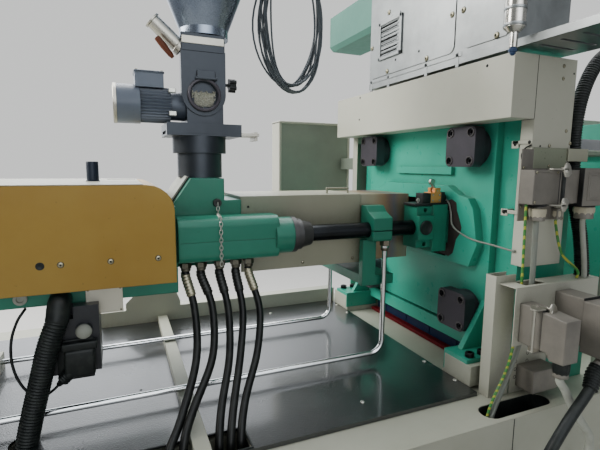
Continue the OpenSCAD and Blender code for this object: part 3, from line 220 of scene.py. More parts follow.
grey_sheath = jacket("grey_sheath", colour(140, 146, 138))
pale_sheath = jacket("pale_sheath", colour(178, 182, 172))
black_sheath = jacket("black_sheath", colour(28, 32, 32), 0.4, (0.06, 0.07, 0.06))
earth_sheath = jacket("earth_sheath", colour(58, 132, 62), stripe=colour(176, 178, 74), twist=22.0)
hose_cover = jacket("hose_cover", colour(20, 22, 22), 0.35, (0.05, 0.055, 0.05))
routes = {
    "upper_cable": (8, grey_sheath, [(-8, -554, 62), (-8, -554, 40), (-8, -556, -128), (-16, -557, -220),
                                     (-48, -560, -320), (-95, -567, -410), (-148, -580, -480),
                                     (-176, -590, -520), (-176, -590, -552)]),
    "earth_cable": (4, earth_sheath, [(-48, -548, 112), (-48, -548, 90), (-46, -552, -126),
                                      (-56, -558, -240), (-92, -566, -370), (-164, -580, -470),
                                      (-194, -590, -525), (-194, -590, -552)]),
    "lower_cable": (11, pale_sheath, [(-65, -711, -345), (-65, -711, -360), (-48, -716, -385),
                                      (-20, -721, -436), (30, -724, -500), (80, -716, -560),
                                      (102, -700, -640), (100, -680, -740), (100, -680, -800)]),
    "outer_cable": (14, black_sheath, [(57, -735, -335), (38, -735, -351), (10, -745, -380),
                                       (-81, -758, -440), (-148, -765, -500), (-184, -748, -600),
                                       (-199, -700, -740), (-200, -680, -830), (-200, -680, -860)]),
    "hood_cable": (8, pale_sheath, [(190, -560, 62), (190, -560, 40), (194, -571, -50),
                                    (198, -575, -105), (198, -575, -126)]),
    "bond_cable": (4, earth_sheath, [(85, -548, 62), (85, -548, 45), (112, -556, -45),
                                     (166, -574, -100), (166, -574, -126)]),
    "switch_cable": (3, grey_sheath, [(-48, -185, 105), (-44, -185, 105), (-39, -190, 102), (-37.5, -212, 88),
                                      (-38, -228, 52), (-43, -248, 5), (-44, -330, -25),
                                      (-38, -430, -33), (-27, -496, -40), (-20, -496, -40)]),
}
for name, (radius, sheath, route) in routes.items():
    line = spaced(smoothed([at(*p) for p in route]), radius / 1000)
    cable = sheathed(name, line, radius / 1000, 12, sheath)
    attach(cable, "machine")

conduit_route = [(465, -535, 330), (465, -535, 360), (462, -530, 450), (440, -522, 545),
                 (390, -515, 590), (325, -509, 590), (255, -505, 535), (205, -505, 430),
                 (192, -505, 290), (212, -510, 130), (236, -525, 0), (222, -550, -100),
                 (222, -550, -126)]
rib_pitch = 0.008


def ribbed(outer, inner, pitch):
    """Radius of a corrugated hose at a distance along it."""
    return lambda run: inner + (outer - inner) * (0.5 + 0.5 * math.cos(math.tau * run / pitch)) ** 0.6


conduit_line = spaced(smoothed([at(*p) for p in conduit_route]), rib_pitch / 6)
conduit = sheathed("conduit", conduit_line, ribbed(0.022, 0.019, rib_pitch), 20, black_sheath)
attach(conduit, "machine")
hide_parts("machine_cables")

# Pressure hoses: five rubber hoses from the carriage's ports down into the bed's well. Zinc plated
# ferrules are crimped on at the top.
hose_routes = [
    [(-980, -185, -92), (-980, -185, -112), (-965, -235, -195), (-975, -310, -310), (-1030, -400, -420),
     (-1068, -450, -475), (-1075, -465, -540), (-1075, -465, -611)],
    [(-935, -185, -92), (-935, -185, -112), (-914, -235, -195), (-930, -310, -310), (-998, -395, -405),
     (-1030, -445, -455), (-1038, -464, -530), (-1038, -465, -611)],
    [(-880, -185, -92), (-880, -185, -112), (-868, -240, -205), (-884, -315, -315), (-925, -395, -410),
     (-945, -450, -470), (-948, -465, -540), (-948, -465, -611)],
    [(-830, -185, -92), (-830, -185, -112), (-824, -240, -215), (-852, -315, -315), (-892, -395, -410),
     (-915, -450, -470), (-920, -465, -540), (-920, -465, -611)],
    [(-790, -185, -92), (-790, -185, -112), (-770, -235, -215), (-800, -310, -315), (-858, -390, -405),
     (-888, -450, -468), (-892, -465, -540), (-892, -465, -611)],
]
hose_radius = 0.011


def bright_plating(name, paint, dull):
    """Zinc plated or blackened steel of a crimped ferrule or a union nut, with fine turning marks."""
    finish = Finish(name)
    marks = finish.noise(160.0, 5.0, Roughness=0.7)
    worn = (paint[0] * 0.5, paint[1] * 0.48, paint[2] * 0.42, 1)
    return finish.coat(Base_Color=finish.mixed(marks, paint, worn), Metallic=0.9,
                       Roughness=finish.reach(marks, 0, 1, dull - 0.1, dull + 0.2),
                       Normal=finish.bump(marks, 0.2, 0.0004))


def ferrule_radius(run):
    """Crimped grooves at even steps, then the thinner collar at the lower end."""
    groove = 0.0012 if math.sin(run * 620) > 0.55 else 0.0
    collar = 0.002 if run > 0.068 else 0.0
    return 0.0142 - groove - collar


zinc = bright_plating("zinc", colour(176, 172, 150), 0.35)
black_zinc = bright_plating("black_zinc", colour(58, 60, 60), 0.4)
for i, route in enumerate(hose_routes):
    line = spaced(smoothed([at(*p) for p in route]), 0.008)
    hose = sheathed(f"pressure_hose_{i + 1}", line, hose_radius, 16, hose_cover)
    crimp = spaced(smoothed([at(*p) for p in route]), 0.002)[4:42]
    ferrule = sheathed(f"ferrule_{i + 1}", crimp, ferrule_radius, 18,
                       zinc if i in (0, 4) else black_zinc)
    for piece in (hose, ferrule):
        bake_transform(piece)
    if i == 0:
        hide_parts("hydraulic_hoses")

# Corrugated drain hose: black polyamide, with a smooth elbow cuff at the drive frame's side, ribbed
# down to its well in the bed behind the valve block.
drain_route = [(-1305, -200, -136), (-1305, -228, -136), (-1306, -252, -147), (-1310, -264, -175),
               (-1333, -266, -240), (-1352, -267, -315), (-1374, -268, -400), (-1392, -270, -480),
               (-1400, -270, -540), (-1400, -270, -592)]
drain_line = spaced(smoothed([at(*p) for p in drain_route]), 0.0013)
cuff_length, drain_pitch = 0.085, 0.008


def drain_radius(run):
    """Smooth cuff first, then ribs."""
    return 0.0272 if run < cuff_length else ribbed(0.027, 0.0235, drain_pitch)(run)


drain_hose = sheathed("corrugated_drain_hose", drain_line, drain_radius, 24, black_sheath)
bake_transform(drain_hose)

# Hank of signal cable: eleven turns of thin grey cable hung over the funnel's hook, the turns spread
# unevenly as they were dropped there. Its round plug rests on the turns.
hank_middle = (-582, -8, 700)
turns_in_hank, steps_per_turn = 11, 40
hank_line = []
for step in range(turns_in_hank * steps_per_turn + 1):
    turn = step / steps_per_turn
    angle = math.radians(90) + math.tau * turn
    spread = 17.0 * math.sin(2.39 * turn + 0.8 * math.sin(1.1 * turn))
    drift = 16.0 * math.sin(1.93 * turn + 1.2)
    hanging = 0.5 - 0.5 * math.sin(angle)
    wide = 104 + spread * (0.35 + 0.65 * hanging) + 9 * math.sin(2 * angle + 1.7 * turn)
    tall = 214 + 14.0 * math.sin(2.1 * turn + 0.4) * hanging
    hank_line.append(at(hank_middle[0] + drift * hanging + wide * math.cos(angle),
                        hank_middle[1] + 17.0 * math.sin(1.7 * turn + 0.5),
                        hank_middle[2] + tall * math.sin(angle)))
slate_sheath = jacket("slate_sheath", colour(84, 92, 98), 0.4, (0.16, 0.17, 0.17))
hank = sheathed("signal_cable_hank", hank_line, 0.0034, 8, slate_sheath)
plug_mesh = bmesh.new()
bmesh.ops.create_cone(plug_mesh, cap_ends=True, segments=28, radius1=0.017, radius2=0.014, depth=0.05,
                      matrix=Matrix.Translation(hank_line[-1] + Vector((0.012, -0.02, -0.02)))
                      @ Matrix.Rotation(math.radians(78), 4, "X"))
bmesh.ops.bevel(plug_mesh, geom=plug_mesh.edges[:], offset=0.0012, segments=2, affect="EDGES", profile=0.5)
hank_plug = placed("hank_plug", plug_mesh)
hank_plug.data.materials.append(black_sheath)
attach(hank_plug, "carriage")
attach(hank, "carriage")
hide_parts("cable_hank")

# Floor and studio: a plain pale floor and a pale world, which metal and glass reflect as well.
floor_mesh = bmesh.new()
bmesh.ops.create_grid(floor_mesh, x_segments=1, y_segments=1, size=20)
floor = placed("floor", floor_mesh)
floor.location.z = -0.0005
floor.data.materials.append(Finish("pale_floor").coat(Base_Color=(0.72, 0.72, 0.7, 1), Roughness=0.9))

world = bpy.data.worlds.new("studio")
bpy.context.scene.world = world
world.use_nodes = True
world_node, world_link = world.node_tree.nodes.new, world.node_tree.links.new
fill_light = world.node_tree.nodes["Background"]
fill_light.inputs["Color"].default_value = (0.92, 0.96, 1.0, 1)
direction = world_node("ShaderNodeTexCoord")
split_direction = world_node("ShaderNodeSeparateXYZ")
window_glow = world_node("ShaderNodeMapRange")
for socket, value in (("From Min", 0.2), ("From Max", 0.55), ("To Min", 2.8), ("To Max", 0.0)):
    window_glow.inputs[socket].default_value = value
off_window = world_node("ShaderNodeMath")
off_window.operation = "ABSOLUTE"
glow_seen = world_node("ShaderNodeMath")
glow_seen.operation = "MULTIPLY_ADD"
glow_seen.inputs[2].default_value = 0.24
world_link(direction.outputs["Generated"], split_direction.inputs[0])
world_link(split_direction.outputs["X"], off_window.inputs[0])
world_link(off_window.outputs[0], window_glow.inputs["Value"])
seen = world_node("ShaderNodeBackground")
seen.inputs["Color"].default_value = (0.86, 0.87, 0.86, 1)
seen.inputs["Strength"].default_value = 1.0
rays = world_node("ShaderNodeLightPath")
world_link(rays.outputs["Is Glossy Ray"], glow_seen.inputs[0])
world_link(window_glow.outputs["Result"], glow_seen.inputs[1])
world_link(glow_seen.outputs[0], fill_light.inputs["Strength"])
either = world_node("ShaderNodeMath")
either.operation = "MAXIMUM"
choose = world_node("ShaderNodeMixShader")
world_link(rays.outputs["Is Camera Ray"], either.inputs[0])
world_link(rays.outputs["Is Transmission Ray"], either.inputs[1])
world_link(either.outputs[0], choose.inputs[0])
world_link(fill_light.outputs[0], choose.inputs[1])
world_link(seen.outputs[0], choose.inputs[2])
world_link(choose.outputs[0], world.node_tree.nodes["World Output"].inputs["Surface"])


def lamp(name, place, aim, size, power, tint=(1, 1, 1)):
    """A soft rectangular studio lamp that points at a place on the machine."""
    light = bpy.data.lights.new(name, "AREA")
    light.shape = "RECTANGLE"
    light.size, light.size_y = size
    light.energy = power
    light.color = tint
    holder = bpy.data.objects.new(name, light)
    holder.location = place
    holder.rotation_euler = (Vector(aim) - Vector(place)).to_track_quat("-Z", "Y").to_euler()
    bpy.context.scene.collection.objects.link(holder)


lamp("window_lamp", (-5.5, 2.2, 4.2), (-0.3, 0, 1.2), (5, 3), 560, (1.0, 0.98, 0.94))
lamp("top_lamp", (0.5, 1.5, 5.5), (0, 0, 1), (5, 4), 300)
lamp("room_lamp", (-2.5, -5.5, 3.0), (-0.3, 0, 1.1), (4, 3), 24)


# Bed: a long welded box of steel plate under pale grey enamel, its seams filled and ground. A seam
# shows in the rear side as a thin black strip of painted shade, oil mist has dulled the paint, and the
# enamel is darkened in its hollows and along inside edges by painted shade.
def enamel(name, paint, shade, gloss=0.3, pores=0.35, grain=220.0):
    """Sprayed enamel: broad shades, painted shade in the corners from an occlusion mask, chips, a cast or
    rolled skin, orange peel.
    """
    finish = Finish(name)
    broad = finish.noise(2.4, 5.0, Roughness=0.6)
    fine = finish.noise(grain, 3.0)
    cast = finish.noise(grain / 7, 4.0, Roughness=0.55)
    chips = finish.noise(95.0, 2.0)
    surface = finish.mixed(finish.reach(broad, 0.35, 0.68), paint, shade)
    # Painted shade: ambient occlusion, mottled by the cast noise, darkens the paint in corners and hollows.
    hollow = finish.node("AmbientOcclusion", "AO", samples=6, Distance=0.06)
    grime_and_shade = finish.tree.nodes.new("ShaderNodeMath")
    grime_and_shade.operation = "MULTIPLY"
    finish.tree.links.new(finish.reach(hollow, 0.35, 0.85, 0.75, 0.0), grime_and_shade.inputs[0])
    finish.tree.links.new(cast, grime_and_shade.inputs[1])
    surface = finish.mixed(grime_and_shade.outputs["Value"], surface,
                           (shade[0] * 0.25, shade[1] * 0.22, shade[2] * 0.2, 1))
    surface = finish.mixed(finish.reach(chips, 0.74, 0.78, 0.0, 0.3), surface,
                           (shade[0] * 0.3, shade[1] * 0.3, shade[2] * 0.3, 1))
    soft_edge = finish.node("Bevel", "Normal", samples=4, Radius=0.0035)
    skin = finish.bump(cast, pores, 0.0012, Normal=soft_edge)
    return finish.coat(Base_Color=surface, Roughness=finish.reach(cast, 0, 1, gloss - 0.08, gloss + 0.2),
                       Normal=finish.bump(fine, 0.12, 0.0005, Normal=skin), Coat_Weight=0.1,
                       Coat_Roughness=0.15, Specular_IOR_Level=0.35)


def coat_solids(finish, *names):
    """Puts a finish on every slot of the solids that come from the construction."""
    for name in names:
        for place in nodes[name].material_slots:
            place.material = finish


def joined(mesh, part):
    """Adds a finished form to the mesh that gathers them."""
    data = bpy.data.meshes.new("form")
    part.to_mesh(data)
    part.free()
    mesh.from_mesh(data)
    bpy.data.meshes.remove(data)


def block(mesh, x, y, z, edge=1.0):
    """A block with rounded edges between limits in millimetres."""
    part = bmesh.new()
    bmesh.ops.create_cube(part, size=1)
    low, high = at(x[0], y[0], z[0]), at(x[1], y[1], z[1])
    for corner in part.verts:
        corner.co = Vector([low[i] + (corner.co[i] + 0.5) * (high[i] - low[i]) for i in range(3)])
    bmesh.ops.bevel(part, geom=part.edges[:], offset=edge / 1000, segments=3, affect="EDGES", profile=0.5)
    joined(mesh, part)


def thickened(mesh, outline, shift):
    """A flat outline of points drawn out by a shift."""
    face = mesh.faces.new([mesh.verts.new(point) for point in outline])
    grown = bmesh.ops.extrude_face_region(mesh, geom=[face])
    for corner in [g for g in grown["geom"] if isinstance(g, bmesh.types.BMVert)]:
        corner.co += shift
    bmesh.ops.recalc_face_normals(mesh, faces=mesh.faces)


def sided(side, near, far):
    """Limits across the machine for a piece that is repeated on both of its sides."""
    return tuple(sorted((side * near, side * far)))


def drawn(mesh, outline, y, edge=1.0):
    """An outline of (x, z) points drawn out across the machine, with rounded edges."""
    part = bmesh.new()
    thickened(part, [at(x, y[0], z) for x, z in outline], Vector((0, (y[1] - y[0]) / 1000, 0)))
    bmesh.ops.bevel(part, geom=part.edges[:], offset=edge / 1000, segments=2, affect="EDGES", profile=0.5)
    joined(mesh, part)


def turned(mesh, start, along, profile, sides=24, ring=False):
    """A turned form: (radius, distance) pairs in millimetres along a direction; a ring has no ends."""
    axis = Vector(along).normalized()
    side = axis.orthogonal().normalized()
    other = axis.cross(side)
    rings = [ring_of(mesh, at(*start) + axis * run / 1000, radius / 1000, side, other, sides)
             for radius, run in profile]
    skinned(mesh, rings + rings[:1] if ring else rings, not ring)


def fitted(name, mesh, finish, body="machine", smooth=False):
    """The finished piece, in its finish, riding on the part of the machine that carries it."""
    piece = placed(name, mesh, smooth)
    if smooth:
        piece.data.set_sharp_from_angle(angle=math.radians(35))
    piece.data.materials.append(finish)
    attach(piece, body)
    return piece


def screw_heads(name, places, along, radius, body="machine", finish=None):
    """Pan head screws with a round recess, one at each place; the recess and the foot of each head get black
    painted shade.
    """
    mesh = bmesh.new()
    for place in places:
        turned(mesh, place, along, [(radius, 0), (radius, radius * 0.25), (radius * 0.8, radius * 0.5),
                                    (radius * 0.45, radius * 0.6), (radius * 0.38, radius * 0.25)], 14)
    # Painted shade and shadow: a black hex in each recess, and a thin black ring just wider than the head at
    # its foot.
    socket_shade = bmesh.new()
    for place in places:
        turned(socket_shade, place, along, [(radius * 0.38, radius * 0.26), (radius * 0.36, radius * 0.34)], 6)
        turned(socket_shade, place, along, [(radius * 1.16, -0.2), (radius * 1.16, 0.35)], 18)
    fitted(name + "_socket_shade", socket_shade, black_sheath, body)
    return fitted(name, mesh, finish or zinc, body, smooth=True)


def dark_holes(name, places, along, radius, body="machine"):
    """Open screw holes with a raised burr, seen as dark rings."""
    mesh = bmesh.new()
    for place in places:
        turned(mesh, place, along, [(radius, 0), (radius, 0.6), (radius * 0.7, 0.7), (radius * 0.6, 0.2)], 14)
    return fitted(name, mesh, black_sheath, body, smooth=True)


UP, DOWN = (0, 0, 1), (0, 0, -1)
NEAR, FAR = (0, -1, 0), (0, 1, 0)
CLAMP, DRIVE = (1, 0, 0), (-1, 0, 0)
bed_coat = enamel("bed_coat", colour(186, 188, 174), colour(174, 176, 160), 0.42, 0.08, grain=500.0)
coat_solids(bed_coat, "bed_frame")
# Painted shade: thin black strips stand for the shade in the seam's groove on the rear side.
seam_shade = bmesh.new()
block(seam_shade, (-139.5, -136.5), (-640.8, -640), (-1190, -494), 0.3)
block(seam_shade, (1398, 1402), (-640.8, -640), (-1190, -494), 0.3)
fitted("seam_shades", seam_shade, black_sheath)
edge_strip = bmesh.new()
block(edge_strip, (-2215, -140), (-641.5, -633), (-494, -489.5), 0.8)
fitted("bed_edge_strip", edge_strip, bed_coat)
well_rim = bmesh.new()
for x, y in (((-1160, -872), (-502, -497)), ((-1160, -872), (-413, -408)),
             ((-1163, -1158), (-502, -408)), ((-874, -869), (-502, -408))):
    block(well_rim, x, y, (-481, -477), 1.2)
fitted("hose_well_rim", well_rim, black_sheath)


def shade_liner(mesh, outline, top, floor_level, wall=0.8):
    """A thin dark pan that lines a well as painted shade of its unlit inside: its outline goes round as (x,
    y) points.
    """
    middle = Vector((sum(p[0] for p in outline), sum(p[1] for p in outline))) / len(outline)
    shrunk = [Vector(p) + (middle - Vector(p)).normalized() * wall for p in outline]
    rings = [[mesh.verts.new(at(x, y, z)) for x, y in ring]
             for ring, z in ((shrunk, floor_level + wall), (shrunk, top),
                             (outline, top), (outline, floor_level))]
    skinned(mesh, rings)


# Painted shade: black pans darken the inside of the cable well and the hose well.
shade_pans = bmesh.new()
round_end = [math.radians(a) for a in range(-90, 91, 10)]
shade_liner(shade_pans, [(16 + 33.4 * math.cos(a), -590 + 33.4 * math.sin(a)) for a in round_end]
      + [(-176 - 33.4 * math.cos(a), -590 - 33.4 * math.sin(a)) for a in round_end], -494, -551.6)
shade_liner(shade_pans, [(-1159.4, -501.4), (-872.6, -501.4), (-872.6, -408.6), (-1159.4, -408.6)], -494, -611.4)
fitted("well_shade_liners", shade_pans, black_sheath)
port_glands = bmesh.new()
for x, z in ((-200, -860), (100, -800)):
    turned(port_glands, (x, -680, z), UP, [(24, -12), (24, 2), (22, 4), (17, 14), (15, 15)], 8)
fitted("port_glands", port_glands, pale_sheath)
coat_solids(bright_plating("foot_steel", colour(70, 70, 68), 0.45), "levelling_feet")


# Drip tray: steel sheet under black hammered paint, whose dimples mirror the machine. Button head
# screws hold its edge down, and dust and oil leave dull patches.
def hammered(name, paint):
    finish = Finish(name)
    dimples = finish.node("TexVoronoi", "Distance", Vector=finish.where, feature="SMOOTH_F1",
                          Scale=300.0, Smoothness=0.4)
    patches = finish.noise(6.0, 6.0, Roughness=0.65)
    dusty = finish.reach(patches, 0.48, 0.78, 0.0, 0.22)
    return finish.coat(Base_Color=finish.mixed(dusty, paint, (0.1, 0.105, 0.1, 1)),
                       Roughness=finish.reach(patches, 0, 1, 0.2, 0.42), Specular_IOR_Level=0.8,
                       Coat_Weight=0.8, Coat_Roughness=0.12, Normal=finish.bump(dimples, 0.8, 0.0008))


coat_solids(hammered("tray_paint", colour(14, 20, 22)), "drip_tray")
bright_screw = bright_plating("bright_screw", colour(214, 216, 210), 0.25)
tray_top = -480
tray_screws = ((-160, -270), (-155, -419), (-509, -421), (-163, 297), (-509, 421), (-1250, -421),
               (-1250, 421), (-155, 419))
screw_heads("tray_screws", [(x, y, tray_top) for x, y in tray_screws], UP, 7, finish=bright_screw)
dark_holes("tray_drain_hole", [(-1115, -101, tray_top)], UP, 4)

# Fixed platen: one heavy iron casting under glossy green enamel. Its feet stand on the deck, and a
# ribbed red rubber strip runs below it, with a blue-black block behind it that is painted shade of the
# gap under the platen, its blue a painted reflection. Beside the nozzle pocket a dark wavy patch of
# bare iron and a dark lining inside the pocket are darkened as painted shade of the pocket.
platen_enamel = enamel("platen_enamel", colour(62, 178, 152), colour(46, 160, 136), 0.26, 0.45)
coat_solids(platen_enamel, "fixed_platen", "moving_platen", "rear_platen", "clamp_cylinder")
red_strip = bmesh.new()
for y in range(-336, 330, 9):
    block(red_strip, (-6, 22), (y, y + 6), (-492, -476), 2.0)
block(red_strip, (-3, 19), (-337, 337), (-492, -480), 1.0)
fitted("ribbed_strip", red_strip, jacket("red_rubber", colour(112, 22, 30), 0.5, (0.05, 0.02, 0.02)))
# Painted shade: a blue-black block fills the gap under the platen, standing for its shade and a painted blue
# reflection.
gap_shade_block = bmesh.new()
block(gap_shade_block, (34, 90), (-336, 336), (-492, -432), 4)
for side in (-220, -60, 100, 260):
    block(gap_shade_block, (31, 34), (side, side + 40), (-480, -450), 1)
fitted("platen_gap_shade", gap_shade_block, jacket("blue_black", colour(26, 40, 66), 0.35, (0.03, 0.05, 0.07)))
foot_bolts = bmesh.new()
bolt_profile = [(15, 0), (15, 12), (13, 14), (8, 14), (8, 6)]
for side in (-1, 1):
    for x in (-112, -60):
        turned(foot_bolts, (x, side * 432, -398), UP, bolt_profile, 24)
fitted("platen_foot_bolts", foot_bolts, bright_plating("oiled_black", colour(44, 46, 48), 0.35),
       smooth=True)
# Painted shade: a dark lining inside the nozzle pocket and a dark wavy patch on the face beside it stand for
# the pocket's shade over bare iron.
shade_lining = bmesh.new()
outline = [(-205, 95), (-218, 68), (-250, -9), (-219, -65), (-203, -112), (203, -112), (219, -65),
            (250, -9), (218, 68), (205, 95)]
middle = Vector((sum(p[0] for p in outline), sum(p[1] for p in outline))) / len(outline)
rings = []
for x, inset in ((-31, 1.6), (-31.5, 0.6), (108.5, 0.6), (107.5, 1.6)):
    ring = [Vector(p) + (middle - Vector(p)).normalized() * inset for p in outline]
    rings.append([shade_lining.verts.new(at(x, y, z)) for y, z in ring])
skinned(shade_lining, rings + rings[:1], False)
bmesh.ops.recalc_face_normals(shade_lining, faces=shade_lining.faces)
shaded_bare_iron = jacket("shaded_bare_iron", colour(58, 52, 50), 0.5, (0.05, 0.045, 0.04))
fitted("pocket_shade_lining", shade_lining, shaded_bare_iron)
shaded_edge = bmesh.new()
wavy = [(222, 102), (246, 91), (251, 62), (265, 35), (278, 4), (272, -18), (254, -42), (247, -72), (240, -95),
        (220, -110), (169, -104), (185, -20), (190, 92)]
for side in (-1, 1):
    thickened(shaded_edge, [at(-32.2, side * y, z) for y, z in wavy], Vector((-0.0008, 0, 0)))
fitted("shaded_pocket_edge", shaded_edge, shaded_bare_iron)
foot_seats = bmesh.new()
for side in (-1, 1):
    block(foot_seats, (-141.5, -20), sided(side, 350, 470), (-481, -414), 1.5)
fitted("foot_seats", foot_seats, bed_coat)


# Tie bars in hard chrome, square caps and socket screws in oiled black oxide. Bare metals have fine
# marks that run the way they were worked, and stains in patches.
def bare_metal(name, paint, stain, dull, marks=(1.0, 1.0, 30.0), depth=0.1, metal=1.0, stains=9.0):
    finish = Finish(name)
    along = finish.node("Mapping", "Vector", Vector=finish.where, Scale=[m * 12 for m in marks])
    lines = finish.node("TexNoise", "Fac", Vector=along, Scale=6.0, Detail=6.0, Roughness=0.7)
    spots = finish.noise(stains, 5.0, Roughness=0.6)
    edge = finish.node("Bevel", "Normal", samples=4, Radius=0.0015)
    return finish.coat(Base_Color=finish.mixed(finish.reach(spots, 0.42, 0.72), paint, stain), Metallic=metal,
                       Roughness=finish.reach(lines, 0, 1, max(dull - 0.1, 0.03), dull + 0.15),
                       Normal=finish.bump(lines, depth, 0.0004, Normal=edge))


hard_chrome = bare_metal("hard_chrome", colour(212, 214, 214), colour(196, 200, 202), 0.12, (1, 20, 20), 0.02)
coat_solids(hard_chrome, "tie_bars", "clamp_piston")
cap_steel = bare_metal("cap_steel", colour(66, 62, 70), colour(44, 44, 50), 0.42, (6, 9, 9), 0.12, 0.35, 5.0)
coat_solids(cap_steel, "tie_bar_caps")
screw_steel = bare_metal("screw_steel", colour(70, 70, 74), colour(44, 44, 48), 0.3, (8, 8, 8))
coat_solids(screw_steel, "cap_screws")
washers = bmesh.new()
cap_face, screw_offset = -74.2, 47
for cap_y in (-292, 292):
    for cap_z in (-286, 286):
        for across in (-screw_offset, screw_offset):
            for upward in (-screw_offset, screw_offset):
                turned(washers, (cap_face, cap_y + across, cap_z + upward), DRIVE,
                       [(15.5, -0.6), (15.5, 2.2), (14.6, 3.2), (12.2, 3.2), (11.6, 0.2), (11.6, -0.6)],
                       24, True)
fitted("cap_screw_rims", washers, bright_plating("worn_rim", colour(108, 106, 108), 0.35),
       smooth=True)

# Portal: cream powder coated sheet folded over the platen's top and both ends. Small screws, open
# holes, two bridging strips to the platen and a bare plate sit on the rear column.
cream_coat = enamel("cream_coat", colour(196, 196, 182), colour(186, 187, 172), 0.4, 0.05, grain=600.0)
coat_solids(cream_coat, "portal_beam", "portal_columns", "cable_duct", "far_trough", "clamp_guards",
            "front_door", "rear_door")
dark_holes("beam_holes", [(-114, 313, 527), (-114, 316, 430), (-114, -430, 520)], DRIVE, 4.5)
fold_gap = bmesh.new()
block(fold_gap, (-21.2, -19.4), (-529.5, -528), (362, 539), 0.3)
block(fold_gap, (-22, -20), (-529.4, -486), (359, 361.5), 0.3)
fitted("portal_fold_gap", fold_gap, black_sheath)
column_face = -529
column_screws = ((52, 284), (142, 293), (86, 518), (87, 482), (-8, 219), (-8, 95), (134, 60), (120, 330))
screw_heads("column_screws", [(x, column_face, z) for x, z in column_screws], NEAR, 5)
column_holes = ((13, 282), (-12, 244), (-14, 186), (-14, 133), (132, 500))
dark_holes("column_holes", [(x, column_face, z) for x, z in column_holes], NEAR, 3)
strips = bmesh.new()
block(strips, (-24, -21), (-531, -462), (288, 299), 1.2)
block(strips, (-24, -21), (-484, -459), (276, 299), 1.2)
block(strips, (-24, -21), (-531, -440), (74, 86), 1.2)
block(strips, (-24, -21), (-462, -436), (66, 88), 1.2)
block(strips, (-21, 27), (-462, -459), (280, 298), 1.0)
block(strips, (-21, 27), (-440, -437), (68, 86), 1.0)
fitted("bridging_strips", strips, cream_coat)
screw_heads("strip_screws", [(-24, -472, 288), (-24, -522, 293), (-24, -449, 77), (-24, -522, 80)],
            DRIVE, 4.5, finish=black_zinc)
clip_line = smoothed([at(-24, -530, 284), at(-26, -512, 276), at(-27, -501, 256), at(-26, -506, 236),
                      at(-24, -517, 222)], 5)
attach(sheathed("wire_clip", clip_line, 0.0022, 8, black_zinc), "machine")


def stamped(name, paint, mark, scale):
    """Bare plate of thin sheet with a worn, speckled surface."""
    finish = Finish(name)
    spots = finish.node("TexVoronoi", "Distance", Vector=finish.where, Scale=scale, Randomness=0.55)
    return finish.coat(Base_Color=finish.mixed(finish.reach(spots, 0.2, 0.32, 0.8, 0.0), paint, mark),
                       Metallic=0.3, Roughness=finish.reach(spots, 0, 1, 0.35, 0.6),
                       Normal=finish.bump(spots, 0.3, 0.0005))


plates = bmesh.new()
block(plates, (-14, 128), (-532.5, -529), (216, 277), 1.0)
perforated = stamped("perforated_sheet", colour(140, 146, 126), colour(84, 90, 76), 70.0)
fitted("perforated_plate", plates, perforated)
small_plate = bmesh.new()
block(small_plate, (129, 219), (-537, -532), (238, 277), 1.0)
fitted("bare_plate", small_plate, stamped("plain_sheet", colour(170, 170, 152), colour(150, 148, 130), 30.0))
duct_slots = bmesh.new()
for z in range(-440, -320, 26):
    turned(duct_slots, (-20, -532, z), NEAR, [(6, -0.4), (6, 0.3), (5, 0.5), (4, -0.2)], 14)
    turned(duct_slots, (30, -532, z - 6), NEAR, [(6, -0.4), (6, 0.3), (5, 0.5), (4, -0.2)], 14)
fitted("duct_plate_holes", duct_slots, black_sheath, smooth=True)

# Green cover panels of the bed and the louvred door of the motor bay: flat sheet, screwed on, under
# the same green enamel as the castings but smoother.
panel_enamel = enamel("panel_enamel", colour(46, 148, 124), colour(40, 138, 116), 0.35, 0.08)
coat_solids(panel_enamel, "side_panels")
panel_face, screw_levels = 652, (-1130, -340)
screw_heads("panel_screws", [(x, panel_face, z) for x in (90, 1700, 2640) for z in screw_levels], FAR, 9)
screw_heads("rear_panel_screws", [(x, -panel_face, z) for x in (460, 1700, 2640) for z in screw_levels],
            NEAR, 9)

# Safety doors and guard windows: clear polycarbonate panes in black rubber seals, set into the cream
# sheet. A black grip runs down each door.
pane_finish = Finish("guard_pane")
smears = pane_finish.noise(7.0, 6.0)
glass = pane_finish.coat(Base_Color=(0.16, 0.2, 0.19, 1), Specular_IOR_Level=0.7,
                         Roughness=pane_finish.reach(smears, 0, 1, 0.03, 0.22))
seal_rubber = jacket("seal_rubber", colour(24, 26, 26), 0.55, (0.05, 0.05, 0.05))


def window(name, x, y, z, body):
    """Pane with a rubber seal round it; y is the distance of its seat and the side that it faces."""
    seat, side = y
    pane = bmesh.new()
    block(pane, (x[0] + 6, x[1] - 6), sided(side, seat, seat + 5), (z[0] + 6, z[1] - 6), 1.5)
    fitted(name + "_pane", pane, glass, body)
    seal = bmesh.new()
    for xs, zs in (((x[0], x[1]), (z[0], z[0] + 14)), ((x[0], x[1]), (z[1] - 14, z[1])),
                   ((x[0], x[0] + 14), z), ((x[1] - 14, x[1]), z)):
        block(seal, xs, sided(side, seat, seat + 8), zs, 3)
    fitted(name + "_seal", seal, seal_rubber, body)


window("front_door_window", (412, 1188), (598.5, 1), (-338, 428), "front_door")
window("rear_door_window", (412, 1188), (598.5, -1), (-338, 188), "rear_door")
for k, left in enumerate((1502, 2062), 1):
    window(f"front_guard_window_{k}", (left, left + 476), (564, 1), (-430, 478), "machine")
    window(f"rear_guard_window_{k}", (left, left + 476), (564, -1), (-430, 238), "machine")
for side, body in ((1, "front_door"), (-1, "rear_door")):
    grip = bmesh.new()
    block(grip, (1212, 1243), sided(side, 652, 661), (-172, 52), 4)
    fitted(body + "_grip", grip, seal_rubber, body)

